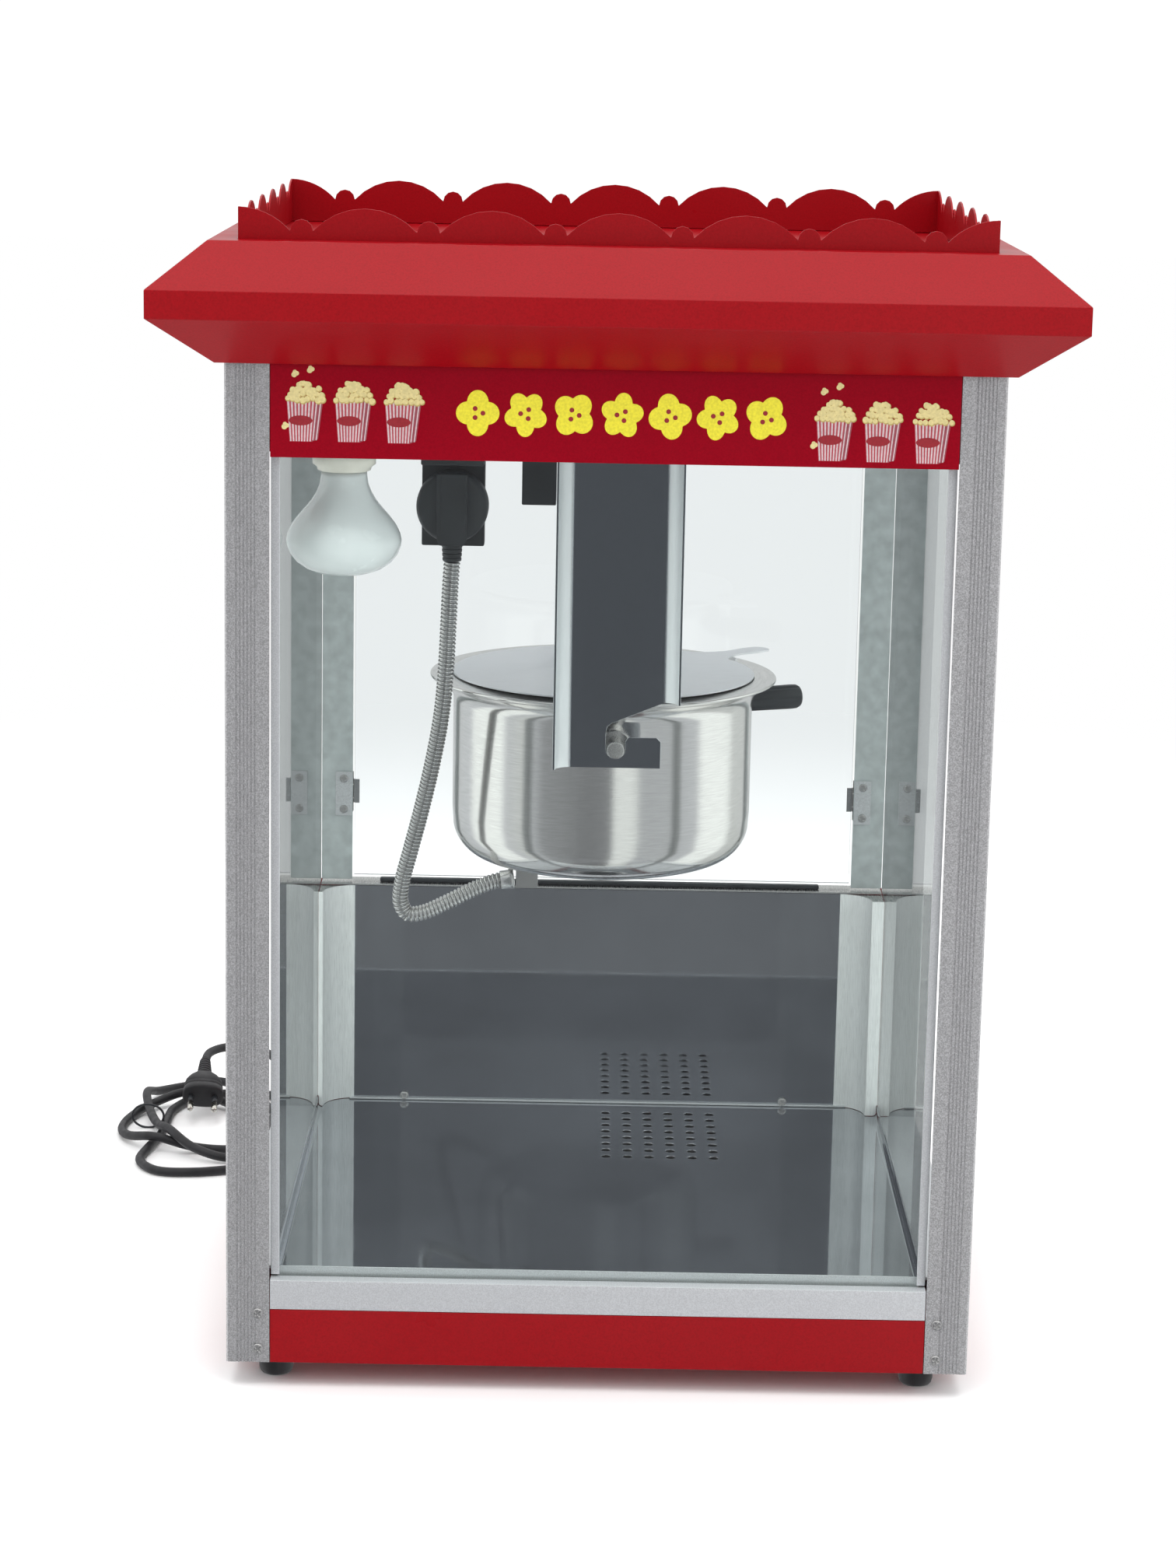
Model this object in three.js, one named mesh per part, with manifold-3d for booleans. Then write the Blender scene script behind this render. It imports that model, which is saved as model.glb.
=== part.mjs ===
// Cabinet popcorn maker: a glazed cabinet on four feet, with a tilting kettle hung from the head,
// a stirrer driven from above, two rear doors, a crumb drawer and a plug-in kettle lead.
// Units are millimetres. The front faces -Y, +Z is up, and the origin is at the bottom centre.
import * as THREE from 'three';
import { mergeVertices } from 'three/addons/utils/BufferGeometryUtils.js';
import Module from 'manifold-3d';

const wasm = await Module();
wasm.setup();

// ---- Driving dimensions ----
const GAP = 0.3;                 // clearance between pieces that touch
const SHEET = 1.5;               // folded sheet metal
const CABINET_W = 480;           // over the posts, left to right
const CABINET_D = 412;           // over the posts, front to rear
const POST_H = 646;
const POST_SIDE = 28;
const FOOT_H = 17;
const FOOT_INSET = 30;           // foot centre from the cabinet's outer faces
const SKIRT_H = 36;              // painted base below the rails
const RAIL_TOP = 56;             // rails stand on the skirt
const SIGN_BOTTOM = 588.6;       // underside of the sign and the rear fascia
const CEILING_H = 600;           // underside of the ceiling plate
const GLASS = 3.8;
const FRONT_GLASS_SETBACK = 10;
const BIN_FLOOR_H = 61;
const BIN_WALL_SETBACK = 389.5;  // rear wall of the bin, from the front face
const SILL_H = 225;              // top of the bin's rear wall
const CANOPY_RIM_H = 720.6;
const CREST_TOP = 19.5;          // lobe height above the canopy's rim
const ROOF_H = 710;
const KETTLE_X = -3;
const KETTLE_SETBACK = 207;
const KETTLE_R = 101.5;
const KETTLE_BOTTOM = 295;
const KETTLE_RIM = 421;
const KETTLE_RIM_R = 117.5;
const TRUNNION_X = 5;
const TRUNNION_H = 392.9;
const TRUNNION_R = 5.8;
const HANGER_REACH = 121.5;      // hanger web, from the kettle's axis
const FORK_BOTTOM = 577;         // drive fork, which holds the tongue on the stirrer's shaft
const CORD_R = 3.5;

// Heights are given above the base and depths behind the front face.
const up = (height) => FOOT_H + height;
const back = (depth) => depth - CABINET_D / 2;
const KETTLE_Y = back(KETTLE_SETBACK);
const INNER_X = CABINET_W / 2 - POST_SIDE - GAP;
const INNER_Y = CABINET_D / 2 - POST_SIDE - GAP;

// ---- Materials ----
const material = (color, roughness, metalness, extra = {}) =>
  new THREE.MeshStandardMaterial({ color, roughness, metalness, ...extra });
const clear = { transparent: true, opacity: 0.25 };
const redPaint = material(0xa8101a, 0.3, 0.1);
const anodised = material(0xb9babd, 0.45, 0.8);
const brightSteel = material(0xb8b8b8, 0.2, 1.0);
const polishedSteel = material(0x6f757c, 0.1, 1.0);
const blackPlastic = material(0x1b1c1f, 0.5, 0.0);
const blackRubber = material(0x151515, 0.8, 0.0);
const glassPane = material(0xdde8e6, 0.05, 0.0, clear);
const acrylic = material(0xe8eef0, 0.08, 0.0, clear);
const frosted = material(0xf2f2f0, 0.35, 0.0);
const ceramic = material(0xe9e6df, 0.4, 0.0);
const whiteEnamel = material(0xd9dcdd, 0.4, 0.3);

// ---- Geometry helpers ----
const group = new THREE.Group();
group.name = 'popcorn_maker';

function solidOf(geometry) {
  const bare = geometry.clone();
  bare.deleteAttribute('normal');
  bare.deleteAttribute('uv');
  const merged = mergeVertices(bare, 1e-4);
  return new wasm.Manifold(new wasm.Mesh({
    numProp: 3,
    vertProperties: new Float32Array(merged.attributes.position.array),
    triVerts: new Uint32Array(merged.index.array),
  }));
}

function geometryOf(solid) {
  const mesh = solid.getMesh();
  const geometry = new THREE.BufferGeometry();
  geometry.setAttribute('position', new THREE.BufferAttribute(mesh.vertProperties, 3));
  geometry.setIndex(new THREE.BufferAttribute(mesh.triVerts, 1));
  geometry.computeVertexNormals();
  return geometry;
}

function join(first, ...others) {
  return geometryOf(others.reduce((whole, part) => whole.add(solidOf(part)), solidOf(first)));
}

function cut(first, ...tools) {
  return geometryOf(tools.reduce((whole, tool) => whole.subtract(solidOf(tool)), solidOf(first)));
}

function add(name, geometry, surface, x = 0, y = 0, z = 0, turn = 0) {
  const mesh = new THREE.Mesh(geometry, surface.clone());
  mesh.name = name;
  mesh.position.set(x, y, z);
  mesh.rotation.z = turn;
  group.add(mesh);
}

function box(x0, x1, y0, y1, z0, z1) {
  const geometry = new THREE.BoxGeometry(x1 - x0, y1 - y0, z1 - z0);
  return geometry.translate((x0 + x1) / 2, (y0 + y1) / 2, (z0 + z1) / 2);
}

const shapeOf = (points) => new THREE.Shape(points.map(([x, y]) => new THREE.Vector2(x, y)));

// Outline in X and Y, raised along Z.
function raise(points, z0, z1) {
  return new THREE.ExtrudeGeometry(shapeOf(points), { depth: z1 - z0, bevelEnabled: false })
    .translate(0, 0, z0);
}

// Outline in X and Z, carried along Y.
function carryY(points, y0, y1) {
  return new THREE.ExtrudeGeometry(shapeOf(points), { depth: y1 - y0, bevelEnabled: false })
    .rotateX(Math.PI / 2).translate(0, y1, 0);
}

// Outline in Y and Z, carried along X.
function carryX(points, x0, x1) {
  return new THREE.ExtrudeGeometry(shapeOf(points), { depth: x1 - x0, bevelEnabled: false })
    .rotateY(Math.PI / 2).rotateX(Math.PI / 2).translate(x0, 0, 0);
}

// Round piece about Z, from a profile of [radius, height].
function turned(profile, sides = 32) {
  const points = profile.map(([r, z]) => new THREE.Vector2(r, z));
  return new THREE.LatheGeometry(points, sides).rotateX(Math.PI / 2);
}

const rod = (radius, z0, z1, sides = 20) => turned([[0, z0], [radius, z0], [radius, z1], [0, z1]], sides);

function arc(cx, cy, radius, from, to, steps) {
  const points = [];
  for (let i = 0; i <= steps; i++) {
    const angle = THREE.MathUtils.degToRad(from + (to - from) * i / steps);
    points.push([cx + radius * Math.cos(angle), cy + radius * Math.sin(angle)]);
  }
  return points;
}

function tube(points, radius, sides, steps) {
  const curve = new THREE.CatmullRomCurve3(points.map((p) => new THREE.Vector3(...p)), false, 'centripetal');
  const section = shapeOf(arc(0, 0, radius, 0, 360 - 360 / sides, sides - 1));
  return new THREE.ExtrudeGeometry(section, { steps, bevelEnabled: false, extrudePath: curve });
}

// ---- Base ----
function baseOutline(inset) {
  const x = CABINET_W / 2 - inset;
  const y = CABINET_D / 2 - inset;
  const nx = INNER_X - inset;
  const ny = INNER_Y - inset;
  return [[nx, -y], [nx, -ny], [x, -ny], [x, ny], [nx, ny], [nx, y],
    [-nx, y], [-nx, ny], [-x, ny], [-x, -ny], [-nx, -ny], [-nx, -y]];
}

const DRAWER = { x0: -20, x1: 116, front: 240, h0: 4, h1: 56 };

function base() {
  const top = up(SKIRT_H);
  const openRear = box(-INNER_X - 1, INNER_X + 1, CABINET_D / 2 - SHEET - 0.1, CABINET_D / 2 + 1,
    FOOT_H + SHEET, top + 1);
  add('base_tray', cut(raise(baseOutline(0), FOOT_H, top),
    raise(baseOutline(SHEET), FOOT_H + SHEET, top + 1), openRear), redPaint);

  const rear = CABINET_D / 2;
  const hole = box(DRAWER.x0 - 2, DRAWER.x1 + 2, rear - 10, rear + 10, up(DRAWER.h0 - 2), up(DRAWER.h1 + 2));
  const cordHole = rod(7, -10, 10, 16).rotateX(Math.PI / 2).translate(GLAND.x, rear, GLAND.z);
  add('base_rear_panel', cut(box(-INNER_X, INNER_X, rear - SHEET, rear, FOOT_H + SHEET + GAP,
    up(SILL_H - GAP)), hole, cordHole), redPaint);

  const { x0, x1, h0, h1 } = DRAWER;
  const y0 = back(DRAWER.front);
  const tray = cut(box(x0, x1, y0, rear + 1.2, up(h0), up(h1)),
    box(x0 + 1.2, x1 - 1.2, y0 + 1.2, rear, up(h0 + 1.2), up(h1 + 1)));
  const lip = box(x0 - 8, x1 + 8, rear + GAP, rear + 1.8, up(h0 - 2), up(h1 + 6));
  const pull = carryX([[rear + 1.5, up(36)], [rear + 14, up(33)], [rear + 14, up(28)],
    [rear + 12.5, up(28)], [rear + 12.5, up(31.8)], [rear + 1.5, up(34.4)]], 18, 78);
  add('crumb_drawer', join(tray, lip, pull), brightSteel);

  const foot = turned([[0, 0], [9.5, 0], [11, 1.5], [12, FOOT_H - GAP], [0, FOOT_H - GAP]], 24);
  const fx = CABINET_W / 2 - FOOT_INSET;
  const fy = CABINET_D / 2 - FOOT_INSET;
  for (const [name, sx, sy] of CORNERS) add(`foot_${name}`, foot, blackRubber, sx * fx, sy * fy, 0);
}

const CORNERS = [['front_left', -1, -1], ['front_right', 1, -1], ['rear_left', -1, 1], ['rear_right', 1, 1]];

// ---- Frame ----
const GROOVES = { count: 6, start: 6.6, pitch: 2.3, width: 1.0, depth: 0.6 };

function groovedEdge(length) {
  const points = [];
  for (let i = 0; i < GROOVES.count; i++) {
    const at = GROOVES.start + i * GROOVES.pitch;
    points.push([at, 0], [at, GROOVES.depth], [at + GROOVES.width, GROOVES.depth], [at + GROOVES.width, 0]);
  }
  points.push([length, 0]);
  return points;
}

// Square post with a fluted band on its two outer faces; the outer corner is at 0, 0.
function postOutline(sx, sy) {
  const along = [[1.2, 0], ...groovedEdge(POST_SIDE)];
  const beside = along.map(([u, v]) => [v, u]).reverse();
  return [...along, ...beside].map(([u, v]) => [sx * (CABINET_W / 2 - u), sy * (CABINET_D / 2 - v)]);
}

function frame() {
  for (const [name, sx, sy] of CORNERS) {
    const bore = box(sx * (CABINET_W / 2 - 14) - 9, sx * (CABINET_W / 2 - 14) + 9,
      sy * (CABINET_D / 2 - 14) - 9, sy * (CABINET_D / 2 - 14) + 9, 0, up(POST_H + 1));
    add(`post_${name}`, cut(raise(postOutline(sx, sy), FOOT_H, up(POST_H)), bore), anodised);
  }
  const bottom = up(SKIRT_H + GAP);
  const top = up(RAIL_TOP);
  const face = back(0);
  add('front_rail', carryX([[face, bottom], [face + 2.5, bottom], [face + 2.5, top - 2],
    [face + 9.7, top - 2], [face + 9.7, top], [face, top]], -INNER_X, INNER_X), anodised);
  for (const [side, s] of [['left', -1], ['right', 1]]) {
    const outer = s * CABINET_W / 2;
    add(`side_rail_${side}`, carryY([[outer, bottom], [outer - s * 2.5, bottom], [outer - s * 2.5, top - 2],
      [outer - s * 27.5, top - 2], [outer - s * 27.5, top], [outer, top]], -INNER_Y, INNER_Y), anodised);
  }
}

// ---- Glazing and bin ----
function glazing() {
  const inside = INNER_X - GLASS;
  const bottom = up(SKIRT_H + 2);
  const top = up(CEILING_H - GAP);
  add('front_glass', box(-inside + GAP, inside - GAP, back(FRONT_GLASS_SETBACK),
    back(FRONT_GLASS_SETBACK + GLASS), bottom, top), glassPane);
  for (const [side, s] of [['left', -1], ['right', 1]]) {
    const x0 = Math.min(s * inside, s * INNER_X);
    add(`side_glass_${side}`, box(x0, x0 + GLASS, back(FRONT_GLASS_SETBACK), back(395), bottom, top), glassPane);
  }
}

const HOLES = { columns: 6, rows: 8, x: 6, setback: 363, pitchX: 15.4, pitchY: 15, radius: 3.25 };
const BIN_HALF = INNER_X - GLASS - GAP;

function bin() {
  const floor = up(BIN_FLOOR_H);
  const bend = 14;
  const rim = floor + 17;
  const outer = [[-BIN_HALF, rim], ...arc(-BIN_HALF + bend, floor - 1 + bend, bend, 180, 270, 5),
    ...arc(BIN_HALF - bend, floor - 1 + bend, bend, 270, 360, 5), [BIN_HALF, rim]];
  const inner = [[BIN_HALF - 1, rim], ...arc(BIN_HALF - bend, floor - 1 + bend, bend - 1, 360, 270, 5),
    ...arc(-BIN_HALF + bend, floor - 1 + bend, bend - 1, 270, 180, 5), [-BIN_HALF + 1, rim]];
  const sheet = carryY([...outer, ...inner], back(FRONT_GLASS_SETBACK + GLASS + 1), back(BIN_WALL_SETBACK - 1 - GAP));
  const drills = [];
  for (let i = 0; i < HOLES.columns; i++) {
    for (let j = 0; j < HOLES.rows; j++) {
      drills.push(rod(HOLES.radius, floor - 3, floor + 3, 6)
        .translate(HOLES.x + i * HOLES.pitchX, back(HOLES.setback - j * HOLES.pitchY), 0));
    }
  }
  add('bin_floor', cut(sheet, ...drills), polishedSteel);

  // The rear wall's sides curve forward above the floor's, and its top folds back into a sill.
  const y0 = back(BIN_WALL_SETBACK);
  const sill = up(SILL_H);
  const half = BIN_HALF - GAP;
  const flange = 18;
  const front = [[-half, y0 - flange], ...arc(-half + bend, y0 - bend, bend, 180, 90, 5),
    ...arc(half - bend, y0 - bend, bend, 90, 0, 5), [half, y0 - flange]];
  const rear = [[half - 1, y0 - flange], ...arc(half - bend, y0 - bend, bend - 1, 0, 90, 5),
    ...arc(-half + bend, y0 - bend, bend - 1, 90, 180, 5), [-half + 1, y0 - flange]];
  const formed = raise([...front, ...rear], rim + 1, sill);
  const foot = box(-half, half, y0 - 1, y0, floor + GAP, rim + 2);
  const ledge = box(-BIN_HALF, BIN_HALF, y0 - 1, CABINET_D / 2 - 1, sill - GAP, sill + SHEET);
  add('bin_rear_wall', join(formed, foot, ledge), polishedSteel);
}

// ---- Head: sign, canopy, roof, crests, ceiling, fascia and switches ----
// Closed ring swept round the cabinet, from a profile of [offset outside the posts, height].
function ring(profile) {
  const corners = [[1, -1], [1, 1], [-1, 1], [-1, -1]];
  const count = profile.length;
  const positions = [];
  for (const [sx, sy] of corners) {
    for (const [offset, z] of profile) {
      positions.push(sx * (CABINET_W / 2 + offset), sy * (CABINET_D / 2 + offset), z);
    }
  }
  const index = [];
  for (let c = 0; c < 4; c++) {
    const next = (c + 1) % 4;
    for (let i = 0; i < count; i++) {
      const j = (i + 1) % count;
      const [a, b] = [c * count + i, c * count + j];
      const [d, e] = [next * count + i, next * count + j];
      index.push(a, d, b, b, d, e);
    }
  }
  const geometry = new THREE.BufferGeometry();
  geometry.setAttribute('position', new THREE.Float32BufferAttribute(positions, 3));
  geometry.setIndex(index);
  geometry.computeVertexNormals();
  return geometry;
}

function canopyProfile() {
  const foot = up(POST_H + GAP);
  const rim = up(CANOPY_RIM_H);
  return [[-27, foot], [5.5, foot], [43.5, up(675.2)], [43.5, up(692.4)], [9, rim], [-7.7, rim],
    [-7.7, rim - SHEET], [8.4, rim - SHEET], [42, up(691.7)], [42, up(676)], [5, foot + SHEET],
    [-27, foot + SHEET]];
}

// Scalloped strip: whole lobes between small round bumps, with half a lobe at each end.
function crestOutline(length, pitches, foot) {
  const pitch = length / pitches;
  const bump = 7;
  const half = pitch / 2 - bump;
  const cusp = up(CANOPY_RIM_H + 5.5);
  const rise = CREST_TOP - 5.5;
  const radius = (half * half + rise * rise) / (2 * rise);
  const spread = THREE.MathUtils.radToDeg(Math.asin(half / radius));
  const centre = cusp + rise - radius;
  const points = [[-length / 2, foot]];
  for (let i = 0; i <= pitches; i++) {
    const x = -length / 2 + i * pitch;
    const from = i === 0 ? 90 : 90 + spread;
    const to = i === pitches ? 90 : 90 - spread;
    points.push(...arc(x, centre, radius, from, to, 8));
    if (i < pitches) points.push(...arc(x + pitch / 2, cusp, bump, 180, 0, 6).slice(1, -1));
  }
  points.push([length / 2, foot]);
  return points;
}

const SWITCH = { halfW: 9.5, halfH: 12.5, pivotIn: 3, tilt: 7, spacing: 46, height: 617 };

// Rocker with a shallow V face, resting with its upper half pressed in.
function rocker() {
  const slope = Math.tan(THREE.MathUtils.degToRad(SWITCH.tilt)) * SWITCH.halfH;
  const outline = [[-5, -6], [4.5 + slope, -SWITCH.halfH], [4.5, 0], [4.5 + slope, SWITCH.halfH], [-5, 6]];
  return carryX(outline, -SWITCH.halfW, SWITCH.halfW).rotateX(THREE.MathUtils.degToRad(SWITCH.tilt));
}

function head() {
  add('sign_panel', box(-INNER_X, INNER_X, back(0), back(2), up(SIGN_BOTTOM), up(POST_H)), redPaint);
  for (const [side, s] of [['left', -1], ['right', 1]]) {
    const outer = s * CABINET_W / 2;
    const inner = s * (INNER_X + 0.6);
    const foot = up(SIGN_BOTTOM);
    add(`head_panel_${side}`, carryY([[outer, foot], [inner, foot], [inner, foot + SHEET],
      [outer - s * SHEET, foot + SHEET], [outer - s * SHEET, up(POST_H)], [outer, up(POST_H)]],
    -INNER_Y, INNER_Y), redPaint);
  }
  add('canopy', ring(canopyProfile()), redPaint);
  add('roof_plate', box(-CABINET_W / 2 - 14, CABINET_W / 2 + 14, -CABINET_D / 2 - 14, CABINET_D / 2 + 14,
    up(ROOF_H - SHEET), up(ROOF_H)), redPaint);

  const crestThick = 1.2;
  const outX = CABINET_W / 2 - 8;
  const outY = CABINET_D / 2 - 8;
  const foot = up(ROOF_H + GAP);
  const longSide = crestOutline(2 * outX, 6, foot);
  const shortSide = crestOutline(2 * (outY - crestThick - GAP), 5, foot);
  add('crest_front', carryY(longSide, -outY, -outY + crestThick), redPaint);
  add('crest_rear', carryY(longSide, outY - crestThick, outY), redPaint);
  add('crest_left', carryX(shortSide, -outX, -outX + crestThick), redPaint);
  add('crest_right', carryX(shortSide, outX - crestThick, outX), redPaint);

  const plate = box(-INNER_X, INNER_X, back(3), CABINET_D / 2 - 4, up(CEILING_H), up(CEILING_H + SHEET));
  add('ceiling_plate', cut(plate, rod(9, up(CEILING_H - 5), up(CEILING_H + 5)).translate(KETTLE_X, KETTLE_Y, 0)),
    whiteEnamel);

  const rear = CABINET_D / 2;
  const windows = [-1, 0, 1].map((i) => box(i * SWITCH.spacing - 10.5, i * SWITCH.spacing + 10.5, rear - 5,
    rear + 5, up(SWITCH.height) - 14.2, up(SWITCH.height) + 14.2));
  add('rear_fascia', cut(box(-INNER_X, INNER_X, rear - SHEET, rear, up(SIGN_BOTTOM), up(POST_H)), ...windows),
    redPaint);
  ['heat', 'motor', 'lamp'].forEach((use, i) => {
    add(`switch_${use}`, rocker(), blackPlastic, (i - 1) * SWITCH.spacing, rear - SWITCH.pivotIn, up(SWITCH.height));
  });
}

// ---- Hangers, drive, lamp, outlet and kettle lead ----
const HANGER = { left: -23.7, right: 34.3, roll: 12, bottom: 380.5, flangeEnd: 424 };

function hangerSlot() {
  const seat = arc(TRUNNION_X, TRUNNION_H, TRUNNION_R + 0.6, 180, 360, 8);
  return [[60, 400.5], [60, HANGER.flangeEnd], [36.5, HANGER.flangeEnd], [2.5, 410], [-0.6, 407.6],
    [-1.4, 403.5], ...seat, [11.4, 398], [13, 400.5], [31.7, 400.5], [HANGER.right, 398],
    [HANGER.right, 370], [60, 370]].map(([x, h]) => [x, up(h)]);
}

// Plate with rolled edges; facing is -1 at the front and 1 at the rear.
function hanger(facing) {
  const { left, right, roll, bottom } = HANGER;
  const reach = HANGER_REACH;
  const inside = [...arc(left, reach + roll, roll, 180, 270, 5), ...arc(right, reach + roll, roll, 270, 360, 5)];
  const outside = [...arc(right, reach + roll, roll - SHEET, 360, 270, 5),
    ...arc(left, reach + roll, roll - SHEET, 270, 180, 5)];
  const plan = [...inside, ...outside].map(([x, v]) => [x, KETTLE_Y + facing * v]);
  const top = up(CEILING_H - GAP);
  const ys = [KETTLE_Y + facing * (reach - 18), KETTLE_Y + facing * (reach + SHEET)].sort((a, b) => a - b);
  const tab = box(left + 4, right - 4, ...ys, top - SHEET, top);
  const slot = carryY(hangerSlot(), KETTLE_Y + facing * reach - 30, KETTLE_Y + facing * reach + 30);
  return cut(join(raise(plan, up(bottom), top), tab), slot);
}

function drive() {
  const motorBottom = up(CEILING_H + SHEET + GAP);
  const gearbox = box(-38, 38, -28, 28, motorBottom, motorBottom + 26);
  const can = rod(26, motorBottom + 20, motorBottom + 74, 28).translate(-10, 0, 0);
  const bore = rod(8, motorBottom - 2, motorBottom + 12, 16);
  add('gearmotor', cut(join(gearbox, can), bore), anodised, KETTLE_X, KETTLE_Y);

  // A fork under the ceiling turns the stirrer's tongue, which leaves it sideways as the kettle tilts.
  const low = up(FORK_BOTTOM);
  const shaft = rod(6, low + 10, motorBottom + 11, 20);
  const fork = rod(9, low, low + 20, 20);
  add('drive_shaft', cut(join(shaft, fork), box(-12, 12, -3, 3, low - 1, low + 9)), brightSteel,
    KETTLE_X, KETTLE_Y);
}

const LAMP = { x: -170, setback: 60, r: 36.5, face: 507.6 };

function lamp() {
  const y = back(LAMP.setback);
  const f = up(LAMP.face);
  const r = LAMP.r;
  const bulb = [[0, f], [14, f + 1.2], [25, f + 5], [33, f + 12], [r, f + 21], [r - 1.5, f + 29], [28, f + 40],
    [20, f + 49], [15, f + 57], [14.5, f + 66], [0, f + 66]];
  add('heat_lamp', turned(bulb, 28), frosted, LAMP.x, y);
  const top = up(CEILING_H - GAP);
  add('lamp_socket', turned([[0, f + 66 + GAP], [17, f + 66 + GAP], [20, f + 70], [20, top - 6], [24, top - 3],
    [24, top], [0, top]], 28), ceramic, LAMP.x, y);
}

const PLUG = { x: -103.8, setback: 127, h: 544, r: 23.5, thick: 22 };

function outlet() {
  const y = back(PLUG.setback);
  const front = y - PLUG.thick / 2;
  const rear = y + PLUG.thick / 2;
  const h = up(PLUG.h);
  const top = up(CEILING_H - GAP);
  add('kettle_outlet', join(box(-20.5, 20.5, front + 2, rear + 16, up(571), top),
    box(-20.5, 20.5, rear + GAP, rear + 16, up(516), up(572))), blackPlastic, PLUG.x);
  const round = rod(PLUG.r, -PLUG.thick / 2, PLUG.thick / 2, 32).rotateX(Math.PI / 2).translate(0, y, h);
  const spine = box(-10, 10, front - 4, rear - 4, up(522), up(566));
  const boot = turned([[0, up(508)], [5.6, up(508)], [6.6, up(519)], [8, up(523)], [0, up(523)]], 20)
    .translate(0, y - 2, 0);
  add('kettle_plug', join(round, spine, boot), blackPlastic, PLUG.x);

  const lead = LEAD_ROUTE.map(([x, depth, height]) => [x, back(depth), up(height)]);
  add('kettle_lead', tube(lead, 5.6, 10, 40), brightSteel);

  add('limit_switch_box', box(-60, -37, back(196), back(226), up(536), up(CEILING_H - GAP)), blackPlastic);
}

// Steel conduit from the plug, round the kettle's left side and up to its underside.
const LEAD_ROUTE = [
  [-103.8, 125, 507.4], [-104.8, 126, 490], [-105.8, 128, 466], [-107, 131, 439], [-110, 137, 404],
  [-116, 145, 369], [-123.5, 153, 335], [-131, 160, 305], [-136.6, 164, 282], [-137.5, 166, 268],
  [-133, 167, 260], [-123, 167, 260.5], [-106, 168, 268], [-88, 170, 277], [-73, 172, 282.5], [-61.6, 173, 284],
];

// ---- Kettle ----
function kettle() {
  const b = up(KETTLE_BOTTOM);
  const rim = up(KETTLE_RIM);
  const r = KETTLE_R;
  const outer = [[0, b], ...arc(r - 2.5 - 24, b + 24, 24, 270, 360, 6), [r, rim - 16],
    [r + 2.5, rim - 9.5], [r + 8, rim - 4.5], [KETTLE_RIM_R, rim - 2]];
  const inner = [[KETTLE_RIM_R, rim - 0.6], [r + 2, rim], [r - 1.5, rim],
    ...arc(r - 2.5 - 24, b + 24, 22.5, 360, 270, 6), [0, b + 1.5]];
  // A welded pin on a collar at the front and the rear carries the bowl in the hangers.
  const trunnions = [-1, 1].flatMap((s) => {
    const span = (end) => [s * (r - 0.9), s * end].sort((p, q) => p - q);
    return [rod(TRUNNION_R, ...span(HANGER_REACH + 7), 20), rod(10, ...span(r + 8), 20)];
  }).map((pin) => pin.rotateX(-Math.PI / 2).translate(TRUNNION_X - KETTLE_X, 0, up(TRUNNION_H)));
  add('kettle_bowl', join(turned([...outer, ...inner], 48), ...trunnions), brightSteel, KETTLE_X, KETTLE_Y);

  const cover = turned([[0, b - 3.3], [66, b - 3.3], [68, b - 2], [68, b - GAP], [0, b - GAP]], 36);
  const entry = box(-56.8, -42, -40, -27, b - 16, b - 2);
  add('kettle_base_cover', join(cover, entry), brightSteel, KETTLE_X, KETTLE_Y);

  const wall = rod(r + GAP, b, rim, 64);
  const grip = carryX([[-9, -6], [-6, -8.5], [6, -8.5], [9, -6], [9, 6], [6, 8.5], [-6, 8.5], [-9, 6]], 92, 150)
    .translate(0, 0, up(396));
  add('kettle_handle', cut(grip, wall), blackPlastic, KETTLE_X, KETTLE_Y, 0, THREE.MathUtils.degToRad(24));

  lid(rim);
  stirrer(b);
}

const LID = { r: 102.5, thick: 1.2, split: 1, gap: 0.6, hole: 8, notch: 12, tabTurn: 42 };

function lid(rim) {
  const low = rim + GAP;
  const high = low + LID.thick;
  const disc = rod(LID.r, low, high, 64);
  const hole = (radius) => rod(radius, low - 1, high + 1, 24);
  const big = LID.r + 80;
  const rightSide = box(LID.split, big, -big, big, low - 1, high + 1);
  const leftSide = box(-big, LID.split + LID.gap, -big, big, low - 1, high + 1);
  add('lid_fixed_half', cut(disc, hole(LID.hole), rightSide), brightSteel, KETTLE_X, KETTLE_Y);
  const angle = THREE.MathUtils.degToRad(LID.tabTurn);
  const tab = raise([[90, -9], [112, -7], [140, -9], ...arc(146, 0, 9, -60, 60, 6), [140, 9], [112, 7], [90, 9]],
    low, high).rotateZ(angle);
  add('lid_flap', cut(join(disc, tab), hole(LID.notch), leftSide), brightSteel, KETTLE_X, KETTLE_Y);
}

function stirrer(b) {
  const low = b + 4;
  const shaft = rod(5, low, up(FORK_BOTTOM - 1), 16);
  const tongue = box(-5, 5, -2.2, 2.2, up(FORK_BOTTOM - 2), up(FORK_BOTTOM + 8));
  const hub = rod(9, low, low + 14, 20);
  const arms = box(-72, 72, -3.5, 3.5, low, low + 4);
  const paddles = [-70, 70].map((x) => box(x - 2, x + 2, -3.5, 3.5, low, low + 22));
  const cross = box(-3.5, 3.5, -48, 48, low + 6, low + 9.5);
  add('stirrer', join(shaft, tongue, hub, arms, cross, ...paddles), brightSteel, KETTLE_X, KETTLE_Y);
}

// ---- Rear doors ----
const DOOR = { hingeX: 187, setback: 402, thick: 4, bottom: 230, top: 586, inner: 1.2, outer: 184 };
const HINGE_HEIGHTS = { lower: 293, upper: 560 };

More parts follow.
